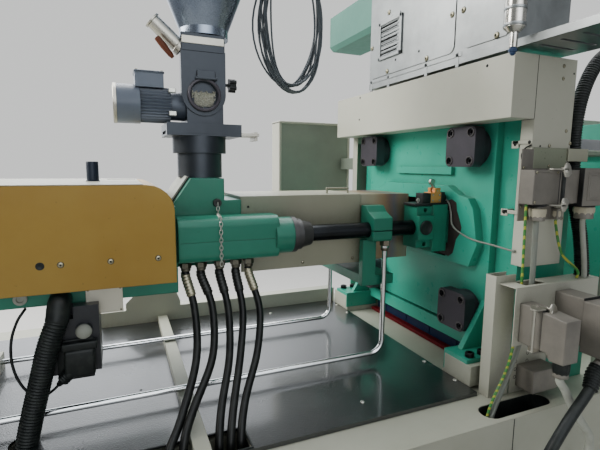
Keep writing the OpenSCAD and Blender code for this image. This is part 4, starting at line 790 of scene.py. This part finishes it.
# Carriage guides: cast blocks with plugged bores hold two blackened rods, and a cast bridge below the
# barrel joins them. Chrome oil pipes rise to union nuts.
casting_enamel = enamel("casting_enamel", colour(40, 140, 114), colour(28, 120, 98), 0.3, 0.6)
casting_enamel.node_tree.nodes["Bevel"].inputs["Radius"].default_value = 0.007
coat_solids(casting_enamel, "rod_yokes", "rod_support", "injection_casting", "injection_housing")
rod_black = bare_metal("rod_black", colour(26, 30, 34), colour(14, 16, 18), 0.22, (1, 14, 14), 0.05, 0.7)
coat_solids(rod_black, "guide_rods")
coat_solids(hard_chrome, "oil_pipes")
bore_plugs = bmesh.new()
for side in (-1, 1):
    turned(bore_plugs, (-149, side * 230, 3), (0, side, 0),
           [(26, -1), (26, 4), (24.5, 5.4), (19, 5.4), (17.5, 4.4), (8, 4.4), (7, 3.6)], 32)
fitted("bore_plugs", bore_plugs, black_sheath, smooth=True)
union_nuts = bmesh.new()
for x, y in ((-300, -200), (-309, 200)):
    turned(union_nuts, (x, y, -37), DOWN, [(18, 0), (19, 2), (19, 17), (17, 19), (15, 19)], 6)
    turned(union_nuts, (x, y, -62), DOWN, [(14, 0), (14, 9), (12, 12), (9.2, 13)], 20)
fitted("union_nuts", union_nuts, bright_plating("grey_nut", colour(110, 104, 92), 0.4))

# Limit switch: machined brass body with a roller lever on top, a black seat and a round gland for
# its cable. A small white tab marks its neighbour.
yellow_brass = bare_metal("yellow_brass", colour(232, 160, 92), colour(208, 134, 70), 0.4, (20, 3, 3),
                          metal=0.45)
coat_solids(yellow_brass, "limit_switch")
roller_steel = bare_metal("roller_steel", colour(196, 194, 184), colour(160, 156, 146), 0.3, (25, 2, 2))
coat_solids(roller_steel, "switch_lever")
switch_trim = bmesh.new()
block(switch_trim, (-150, -113.5), (-206, -164), (88.5, 124), 2)
block(switch_trim, (-68, -50.6), (-206.4, -163.6), (87.5, 127), 2)
turned(switch_trim, (-51, -185, 105), CLAMP, [(17, 0), (17, 9), (15.5, 12), (9, 14), (5, 15)], 24)
block(switch_trim, (-191, -44), (-216.5, -148.5), (80, 88.8), 1)
fitted("switch_seat_and_gland", switch_trim, black_sheath, smooth=True)
screw_heads("switch_screws", [(x, -205.2, z) for z in (97, 117) for x in (-104, -75)], NEAR, 3,
            finish=bright_screw)
tab = bmesh.new()
turned(tab, (-166, -200, 100), NEAR, [(7, 0), (7, 2), (6.5, 2.4), (3, 2.4), (3, 0.4)], 20)
block(tab, (-169, -163), (-202, -200), (84, 96), 0.6)
fitted("white_tab", tab, pale_sheath, smooth=True)

# Injection casting: feed block with both carriage cylinders, brushed green enamel. A bare white plate
# lies on its slope, and a short chain hangs from a socket screw on its side.
slope_plate = bmesh.new()
drawn(slope_plate, [(-1003, 104), (-952, 179), (-957, 184), (-1009, 108)], (-96, 96), 1.0)
fitted("slope_plate", slope_plate, pale_sheath, "carriage")
slope_edge = bmesh.new()
drawn(slope_edge, [(-1004, 102), (-949, 181), (-952, 183), (-1006, 105)], (-101, 101), 0.8)
fitted("slope_plate_backing", slope_edge, black_sheath, "carriage")
casting_screws = bmesh.new()
for side in (-1, 1):
    turned(casting_screws, (-873, side * 132, 102), (0, side, 0),
           [(13, -1), (13, 6), (11.5, 8), (7, 8), (6.4, 2)], 24)
fitted("casting_socket_screws", casting_screws, black_zinc, "carriage", smooth=True)
chain = bmesh.new()
link_gap, link_long, link_wide, wire = 11.5, 8.5, 4.6, 1.3
for k in range(24):
    run = k * link_gap
    if run < 35:
        centre = at(-872, -139, 96 - run)
    elif run < 140:
        centre = at(-875 - (run - 35) * 0.09, -144 - (run - 35) * 0.86, 64 - (run - 35) * 0.02)
    else:
        centre = at(-885, -237.5, 58 - (run - 140))
    across = Vector(CLAMP) if k % 2 else Vector(FAR)
    outline = [centre + across * link_wide / 1000 * math.cos(a)
               + Vector((0, 0, link_long / 1000 * math.sin(a)))
               for a in (math.tau * j / 12 for j in range(12))]
    out_of_plane = across.cross(Vector(UP))
    rings = []
    for point in outline:
        outward = (point - centre).normalized()
        rings.append(ring_of(chain, point, wire / 1000, outward, out_of_plane, 6))
    skinned(chain, rings + rings[:1], False)
fitted("plug_chain", chain, bright_screw, "carriage", smooth=True)
parting = bmesh.new()
for side in (-1, 1):
    block(parting, (-1003, -705), sided(side, 231.8, 232.9), (-3, -1), 0.4)
fitted("parting_lines", parting, casting_enamel, "carriage")
hose_nuts = bmesh.new()
for x in [route[0][0] for route in hose_routes]:
    turned(hose_nuts, (x, -185, -66), DOWN, [(15, 0), (17, 2), (17, 16), (15, 18)], 6)
    turned(hose_nuts, (x, -185, -84), DOWN, [(14, 0), (14, 6), (13, 8)], 20)
fitted("hose_nuts", hose_nuts, bright_plating("nut_grey", colour(104, 102, 92), 0.35), "carriage")
cap_black = bare_metal("cap_black", colour(62, 62, 62), colour(40, 42, 42), 0.4, (4, 12, 12), 0.1, 0.5)
coat_solids(cap_black, "cylinder_caps")

# Barrel under its covers: a folded cream sheet with a wire handle, and at the nozzle's end a bare
# steel guard that heat has tinted brown and violet.
cover_coat = enamel("cover_coat", colour(176, 175, 156), colour(164, 163, 142), 0.4, 0.05, grain=600.0)
coat_solids(cover_coat, "barrel_cover")
dark_holes("cover_hole", [(-772, -125, 86)], NEAR, 4, "carriage")
screw_heads("barrel_cover_screws", [(x, -125, -110) for x in (-770, -580, -385)], NEAR, 5, "carriage")
tint = Finish("heat_tinted_steel")
along_barrel = tint.node("SeparateXYZ", "X", Vector=tint.where)
shift = tint.tree.nodes.new("ShaderNodeMath")
shift.operation = "MULTIPLY_ADD"
shift.inputs[1].default_value = 0.07
tint.tree.links.new(tint.noise(9.0, 5.0), shift.inputs[0])
tint.tree.links.new(along_barrel, shift.inputs[2])
bands = tint.tree.nodes.new("ShaderNodeValToRGB")
bands.color_ramp.elements[0].color = colour(158, 154, 138)
bands.color_ramp.elements[1].color = colour(150, 146, 128)
for place, paint in ((0.3, colour(164, 154, 130)), (0.5, colour(150, 126, 98)), (0.62, colour(128, 108, 96)),
                     (0.74, colour(118, 116, 122)), (0.86, colour(152, 142, 118))):
    bands.color_ramp.elements.new(place).color = paint
tint.tree.links.new(tint.reach(shift.outputs["Value"], -0.57, -0.36), bands.inputs["Fac"])
brushed_lines = tint.noise(260.0, 4.0)
guard_steel = tint.coat(Base_Color=bands.outputs["Color"], Metallic=0.55,
                        Roughness=tint.reach(brushed_lines, 0, 1, 0.28, 0.5))
coat_solids(guard_steel, "nozzle_guard", "heater_bands")
machined_steel = bare_metal("machined_steel", colour(150, 150, 146), colour(120, 116, 108), 0.35, (25, 2, 2))
coat_solids(machined_steel, "barrel", "nozzle", "feed_screw", "ejector_plate")
guard_trim = bmesh.new()
for x in (-352, -152):
    block(guard_trim, (x - 3, x + 3), (-119.5, -117.5), (-122, 116), 0.8)
fitted("guard_folds", guard_trim, guard_steel, "carriage")

# Dosing unit: blue-black housing with a round window in a dark ring, pale pellets behind it, a
# hinge plate, and a grey hammered motor with cooling fins.
dosing_paint = bare_metal("dosing_paint", colour(52, 58, 66), colour(38, 44, 52), 0.35, (3, 3, 9), 0.08, 0.4)
coat_solids(dosing_paint, "dosing_housing", "hopper_neck")
coat_solids(black_sheath, "star_knob")
brushed_sheet = bare_metal("brushed_sheet", colour(176, 174, 164), colour(160, 156, 146), 0.36, (1, 1, 22),
                           0.06)
coat_solids(brushed_sheet, "shut_off_slide", "dosing_screw", "upper_lever", "lower_lever")
top_strip = bmesh.new()
block(top_strip, (-960, -832), (-84, -80.5), (578, 600), 1.5)
block(top_strip, (-952, -848), (-78.5, -72), (315, 326), 1.5)
fitted("dosing_top_strip", top_strip, brushed_sheet, "carriage")
window_x, window_z = -896, 430
ring = bmesh.new()
turned(ring, (window_x, -86.5, window_z), NEAR,
       [(50, -2), (51, 1), (49, 4), (44, 5), (41, 3), (40, -3)], 48, True)
fitted("window_ring", ring, cap_steel, "carriage", smooth=True)
random.seed(7)
pellets = bmesh.new()
for k in range(170):
    across, upward = random.uniform(-36, 36), random.uniform(-38, 12)
    if across * across + upward * upward > 37 ** 2:
        continue
    grain = bmesh.new()
    bmesh.ops.create_icosphere(grain, subdivisions=1, radius=random.uniform(2.2, 3.4) / 1000)
    for corner in grain.verts:
        corner.co = at(window_x + across, -76 + random.uniform(-3, 3), window_z + upward) + corner.co
    joined(pellets, grain)
block(pellets, (-926, -866), (-76, -72), (396, 438), 3)
pale_pellet = jacket("pale_pellet", colour(206, 206, 192), 0.4, (0.6, 0.6, 0.52))
fitted("pellets", pellets, pale_pellet, "carriage", smooth=True)
front_sheet = bmesh.new()
block(front_sheet, (-962, -830), (-82, -74), (556, 610), 3)
fitted("dosing_front_sheet", front_sheet, dosing_paint, "carriage")
hinge = bmesh.new()
block(hinge, (-918, -862), (-93, -81), (474, 502), 2.5)
turned(hinge, (-922, -90, 478), CLAMP, [(5, 0), (5, 64), (4, 65)], 14)
fitted("hinge_plate", hinge, dosing_paint, "carriage")
grey_coat = enamel("grey_coat", colour(112, 124, 140), colour(96, 106, 122), 0.3, 0.3)
coat_solids(grey_coat, "pump_motor", "dosing_motor", "injection_ram")
motor_trim = bmesh.new()
fan_end = (-1152, -8, 400)
turned(motor_trim, fan_end, DRIVE, [(59.5, -6), (59.5, 2), (57, 4), (52, 4), (50, 1)], 40)
for reach in (44, 34, 24, 14):
    turned(motor_trim, fan_end, DRIVE,
           [(reach, 0), (reach, 2.6), (reach - 3, 2.6), (reach - 3, 0)], 32)
fitted("fan_grille", motor_trim, brushed_sheet, "carriage", smooth=True)
lid = bmesh.new()
block(lid, (-1096, -1008), (-51, 29), (488, 497), 5)
fitted("terminal_lid", lid, grey_coat, "carriage")
screw_heads("terminal_screws", [(x, y, 497) for x in (-1088, -1016) for y in (-43, 21)], UP, 4,
            "carriage")
motor_clamps = bmesh.new()
for z in (440, 372):
    block(motor_clamps, (-1000, -978), (-70, -56), (z - 7, z + 7), 2)
fitted("motor_clamps", motor_clamps, bright_screw, "carriage")

# Funnel: spun stainless steel, smooth and bluish, on the dosing unit, with an inclined filling tube
# and its brown grip on the left.
funnel_steel = bare_metal("funnel_steel", colour(132, 142, 156), colour(108, 120, 138), 0.26, (2, 2, 14),
                          0.04)
coat_solids(funnel_steel, "funnel")
filler = bmesh.new()
lean = (at(-945, -50, 556) - at(-1040, -50, 640)).normalized()
turned(filler, (-1040, -50, 640), lean,
       [(26, 0), (26, 5), (22, 6), (22, 96), (25, 98), (25, 112), (22, 114)], 28)
fitted("filling_tube", filler, brushed_sheet, "carriage", smooth=True)
grip = bmesh.new()
turned(grip, (-1030, -76, 586), at(-984, -76, 532) - at(-1030, -76, 586),
       [(7, 0), (9, 4), (10, 30), (8, 60), (5, 70)], 18)
brown_grip = jacket("brown_grip", colour(112, 62, 42), 0.4, (0.08, 0.05, 0.04))
fitted("filler_grip", grip, brown_grip, "carriage", smooth=True)

# Yellow cover of the injection drive: one folded sheet, mustard powder coat, with a cream top sheet
# let in. Pan screws hold it along its lower edge; a dark cap and a slotted plate sit on the top.
yellow_coat = enamel("yellow_coat", colour(182, 148, 66), colour(170, 132, 50), 0.4, 0.04, grain=600.0)
coat_solids(yellow_coat, "yellow_cover")
top_sheet = bmesh.new()
block(top_sheet, (-2020, -1092), (-252, 252), (163.5, 166.5), 1.0)
fitted("cover_top_sheet", top_sheet, cream_coat, "carriage")
cover_side, screw_level = 255, -33
cover_screws = (-1294, -1179, -1061, -1600, -1900)
screw_heads("cover_screws", [(x, -cover_side, screw_level) for x in cover_screws], NEAR, 7, "carriage")
screw_heads("cover_screws_far", [(x, cover_side, screw_level) for x in cover_screws], FAR, 7, "carriage")
dark_holes("cover_plug", [(-1339, -cover_side, screw_level)], NEAR, 10, "carriage")
top_cap = bmesh.new()
turned(top_cap, (-1221, -17, 166), UP,
       [(19, 0), (19, 3), (17, 4), (17, 56), (16, 59), (13, 59), (12, 57)], 28)
blue_cap = jacket("blue_cap", colour(30, 40, 56), 0.35, (0.04, 0.05, 0.06))
fitted("top_cap", top_cap, blue_cap, "carriage", smooth=True)
top_slot = bmesh.new()
block(top_slot, (-1186, -1096), (146, 156), (166, 167.5), 0.7)
fitted("top_slot", top_slot, black_sheath, "carriage")

# Drive frame below the cover: green casting with a bare cream plate on its side, and the valve block
# with its dome, its plug and a thin cable. The corrugated drain hose leaves beside it.
valve_black = bare_metal("valve_black", colour(40, 42, 46), colour(24, 26, 30), 0.35, (6, 6, 6), 0.15, 0.4)
coat_solids(valve_black, "valve_block")
side_plate = bmesh.new()
block(side_plate, (-1246, -1154), (-203, -200), (-186, -112), 1.0)
fitted("side_plate", side_plate, stamped("cream_plate", colour(206, 202, 186), colour(192, 188, 172), 24.0),
       "carriage")
screw_heads("side_plate_screws", [(x, -203, z) for x in (-1240, -1160) for z in (-180, -119)],
            NEAR, 2.5, "carriage")
ringed_bolt = bmesh.new()
turned(ringed_bolt, (-1396, -200, -126), NEAR, [(16, 0), (16, 4), (14, 5), (9, 5), (8, 1)], 24)
fitted("ringed_bolt", ringed_bolt, pale_sheath, "carriage", smooth=True)
dome = bmesh.new()
turned(dome, (-1252, -249, -214), NEAR,
       [(20, -6), (20, 0), (19, 5), (15, 10), (9, 13), (3, 14.5), (0.5, 14.8)], 28)
fitted("valve_dome", dome, pale_sheath, "carriage", smooth=True)
plug = bmesh.new()
block(plug, (-1306, -1222), (-262, -235), (-262, -240), 4)
block(plug, (-1300, -1228), (-268, -235), (-330, -258), 7)
block(plug, (-1318, -1232), (-241, -235), (-345, -236), 2)
turned(plug, (-1286, -252, -318), (-0.72, 0, -0.69),
       [(17, 0), (17, 10), (14, 12), (16, 15), (14, 18), (16, 21), (14, 24), (16, 27), (14, 30),
        (9, 34), (6, 44)], 20)
fitted("valve_plug", plug, black_sheath, "carriage", smooth=True)
valve_route = [(-1317, -252, -348), (-1332, -251, -362), (-1352, -244, -374), (-1384, -236, -366),
               (-1408, -230, -330), (-1420, -226, -280), (-1418, -222, -225), (-1404, -218, -180),
               (-1392, -212, -160), (-1386, -201, -152)]
valve_line = spaced(smoothed([at(*p) for p in valve_route]), 0.006)
valve_cable = sheathed("valve_cable", valve_line, 0.0035, 10, black_sheath)
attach(valve_cable, "carriage")

# Handling unit: brushed aluminium housing with screwed round-cornered panels and a louvred grille,
# on a slotted base plate, with an air filter and its blue drain screw.
plain_aluminium = bare_metal("plain_aluminium", colour(152, 156, 156), colour(134, 138, 138), 0.36,
                             (1, 14, 1), 0.08)
coat_solids(plain_aluminium, "handling_base", "handling_housing")
filter_bowl = bare_metal("filter_bowl", colour(214, 212, 204), colour(150, 146, 138), 0.16, (2, 2, 8),
                         0.1, 0.9, 22.0)
coat_solids(filter_bowl, "air_filter")
coat_solids(enamel("robot_coat", colour(84, 142, 126), colour(74, 130, 116), 0.4), "handling_drive")
housing_face = -97
housing_screws = ((-247, 722), (-299, 721), (-442, 606), (-124, 608), (127, 610), (127, 842), (249, 729),
                  (-480, 740), (-247, 960), (249, 960))
screw_heads("panel_head_screws", [(housing_face, y, z) for y, z in housing_screws], DRIVE, 9)
dark_holes("panel_holes", [(housing_face, y, z) for y, z in ((-77, 644), (71, 645))], DRIVE, 5)
panel_gaps = bmesh.new()
for y0, y1 in ((-262, 262), (-492, -300)):
    for ys, zs in (((y0 + 24, y1 - 24), (597, 599)), ((y0 + 24, y1 - 24), (989, 991)),
                   ((y0 - 1.5, y0 + 0.5), (622, 966)), ((y1 - 0.5, y1 + 1.5), (622, 966))):
        block(panel_gaps, (-94.8, -93.6), ys, zs, 0.2)
fitted("panel_gaps", panel_gaps, black_sheath)
drain = bmesh.new()
turned(drain, (-134, -537, 546), DOWN,
       [(9, 0), (9, 5), (12, 6), (12, 12), (8, 13), (8, 17), (4, 22)], 8)
blue_plastic = jacket("blue_plastic", colour(34, 58, 92), 0.35, (0.03, 0.05, 0.08))
fitted("filter_drain", drain, blue_plastic)
filter_rings = bmesh.new()
for z in (598, 640, 700, 780):
    turned(filter_rings, (-134, -537, z), UP, [(28.2, 0), (29.6, 2), (29.6, 7), (28.2, 9)], 32)
fitted("filter_rings", filter_rings, plain_aluminium, smooth=True)
grille_back = bmesh.new()
block(grille_back, (-98.2, -97.2), (40, 180), (672, 804), 0.3)
fitted("grille_mesh", grille_back, seal_rubber)
louvres = bmesh.new()
for row in range(10):
    low = 677 + row * 13
    drawn(louvres, [(-104, low), (-102.6, low), (-98.6, low + 6), (-100, low + 6)], (42, 178), 0.3)
for ys, zs in (((30, 44), (662, 814)), ((176, 190), (662, 814)),
               ((30, 190), (662, 675)), ((30, 190), (801, 814))):
    block(louvres, (-105, -97.4), ys, zs, 1.2)
fitted("grille_frame", louvres, plain_aluminium)
base_ribs = bmesh.new()
for y in (-126, -286, 114, 244):
    block(base_ribs, (-95.5, -90), (y, y + 15), (546, 592), 1.5)
block(base_ribs, (-95.5, -92), (-300, 260), (579, 592), 1.5)
fitted("base_ribs", base_ribs, plain_aluminium)

# Connectors: die cast aluminium housings and hoods with rubber seals, blank raised fields, cream
# plastic glands and small screws in their corners.
die_cast = bare_metal("die_cast", colour(132, 128, 120), colour(112, 108, 102), 0.5, (6, 6, 6), 0.25, 0.3)
die_cast.node_tree.nodes["Bevel"].inputs["Radius"].default_value = 0.006
coat_solids(die_cast, "connector_bases", "connector_hoods")
connector_trim = bmesh.new()
block(connector_trim, (150, 234), (-593.5, -591.5), (120, 204), 1.0)
block(connector_trim, (158, 226), (-595, -593), (128, 196), 1.0)
block(connector_trim, (-62, 44), (-579.5, -577.5), (203, 212.6), 1.2)
fitted("connector_fields", connector_trim, die_cast)
seals = bmesh.new()
block(seals, (43.6, 46.2), (-578.8, -531), (111.4, 212.6), 0.5)
block(seals, (-93, -37), (-665, -663), (-289, -171), 0.5)
block(seals, (51, 123), (-681, -679), (-292, -148), 0.5)
block(seals, (128, 131.5), (-592.5, -536), (103.4, 218.4), 0.5)
turned(seals, (-8, -554, 111.5), DOWN, [(24, 0), (24, 6), (16, 8)], 24)
turned(seals, (190, -560, 104), DOWN, [(29.5, 0), (29.5, 4), (27.5, 5)], 28)
fitted("connector_seals", seals, seal_rubber)
lower_gland = bmesh.new()
turned(lower_gland, (-65, -711, -303), DOWN,
       [(20.5, 0), (22, 2), (22, 16), (21, 30), (17, 40), (13, 43)], 10)
fitted("lower_gland", lower_gland, black_sheath, smooth=True)
for name, x, y, low, high, body in (("upper", 33, -599, 112, 212, "upper_lever"),
                                    ("lower", -69, -668, -288, -172, "lower_lever")):
    sleeve = bmesh.new()
    turned(sleeve, (x, y, low + 6), UP, [(5.4, 0), (5.4, high - low - 12)], 16)
    fitted(name + "_bail_sleeve", sleeve, black_sheath, body, smooth=True)
    lugs = bmesh.new()
    for z, way in ((low - 3, -1), (high + 3, 1)):
        shield = [(-9, -13), (-9, 7), (-4, 17), (8, 17), (17, 7), (23, -13), (11, -23), (-5, -23)]
        drawn(lugs, [(x + a, z + b * way) for a, b in shield], (y - 7, y - 4), 0.9)
        turned(lugs, (x, y - 7, z - 8 * way), NEAR, [(6, 0), (6, 2.4), (5, 3), (2.4, 3), (2, 1.8)], 16)
        block(lugs, (x - 6, x + 7), (y - 6, y + 8), (z - 5, z + 5), 1.5)
    fitted(name + "_bail_lugs", lugs, brushed_sheet, body, smooth=True)
glands = bmesh.new()
turned(glands, (-8, -554, 99), DOWN,
       [(23, 0), (25, 2), (25, 14), (24, 16), (23, 24), (19, 34), (12, 38)], 10)
turned(glands, (190, -560, 98), DOWN,
       [(28, 0), (30, 2), (30, 14), (28, 18), (26, 28), (20, 36), (11, 38)], 10)
turned(glands, (85, -548, 88), DOWN, [(11, 0), (12, 2), (12, 14), (9, 22), (5.5, 27)], 16)
fitted("cable_glands", glands, jacket("cream_plastic", colour(196, 190, 168), 0.4, (0.35, 0.34, 0.28)),
       smooth=True)
screw_heads("connector_screws", [(-52, -532.5, 218), (-52, -532.5, 102), (52, -532.5, 224), (92, -532.5, 100),
                                 (-52, -578, 205), (-52, -578, 119), (34, -578, 205)], NEAR, 4.5)
relief = spaced(smoothed([at(*p) for p in ((57, -735, -335), (38, -735, -351), (10, -745, -380),
                                           (-30, -751, -410))]), 0.002)


def sleeve_radius(run):
    """Tapering strain relief with a rib every 8 mm."""
    return 0.0235 - run * 0.09 + 0.0018 * math.cos(run * math.tau / 0.008)


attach(sheathed("ribbed_sleeve", relief[:34], sleeve_radius, 20, black_sheath), "machine")

# Operator panel: grey cast back with a cream rim, held on an arm beyond the platen; its front has the
# screen, rows of keys and the red stop button.
panel_coat = enamel("panel_coat", colour(150, 160, 146), colour(130, 140, 128), 0.3, 0.35)
coat_solids(panel_coat, "console")
rim = bmesh.new()
for xs, zs in (((-367, -352), (58, 448)), ((39, 54), (58, 448)), ((-367, 54), (434, 449)),
               ((-367, 54), (57, 72))):
    block(rim, xs, (697, 812), zs, 5)
fitted("console_rim", rim, cream_coat)
coat_solids(jacket("front_sheet", colour(150, 154, 150), 0.5), "console_front")
screen = bmesh.new()
block(screen, (-272, -41), (817.5, 819.5), (242, 399), 1.0)
fitted("screen", screen, glass)
coat_solids(jacket("red_cap", colour(190, 24, 20), 0.3, (0.3, 0.05, 0.04)), "stop_button")
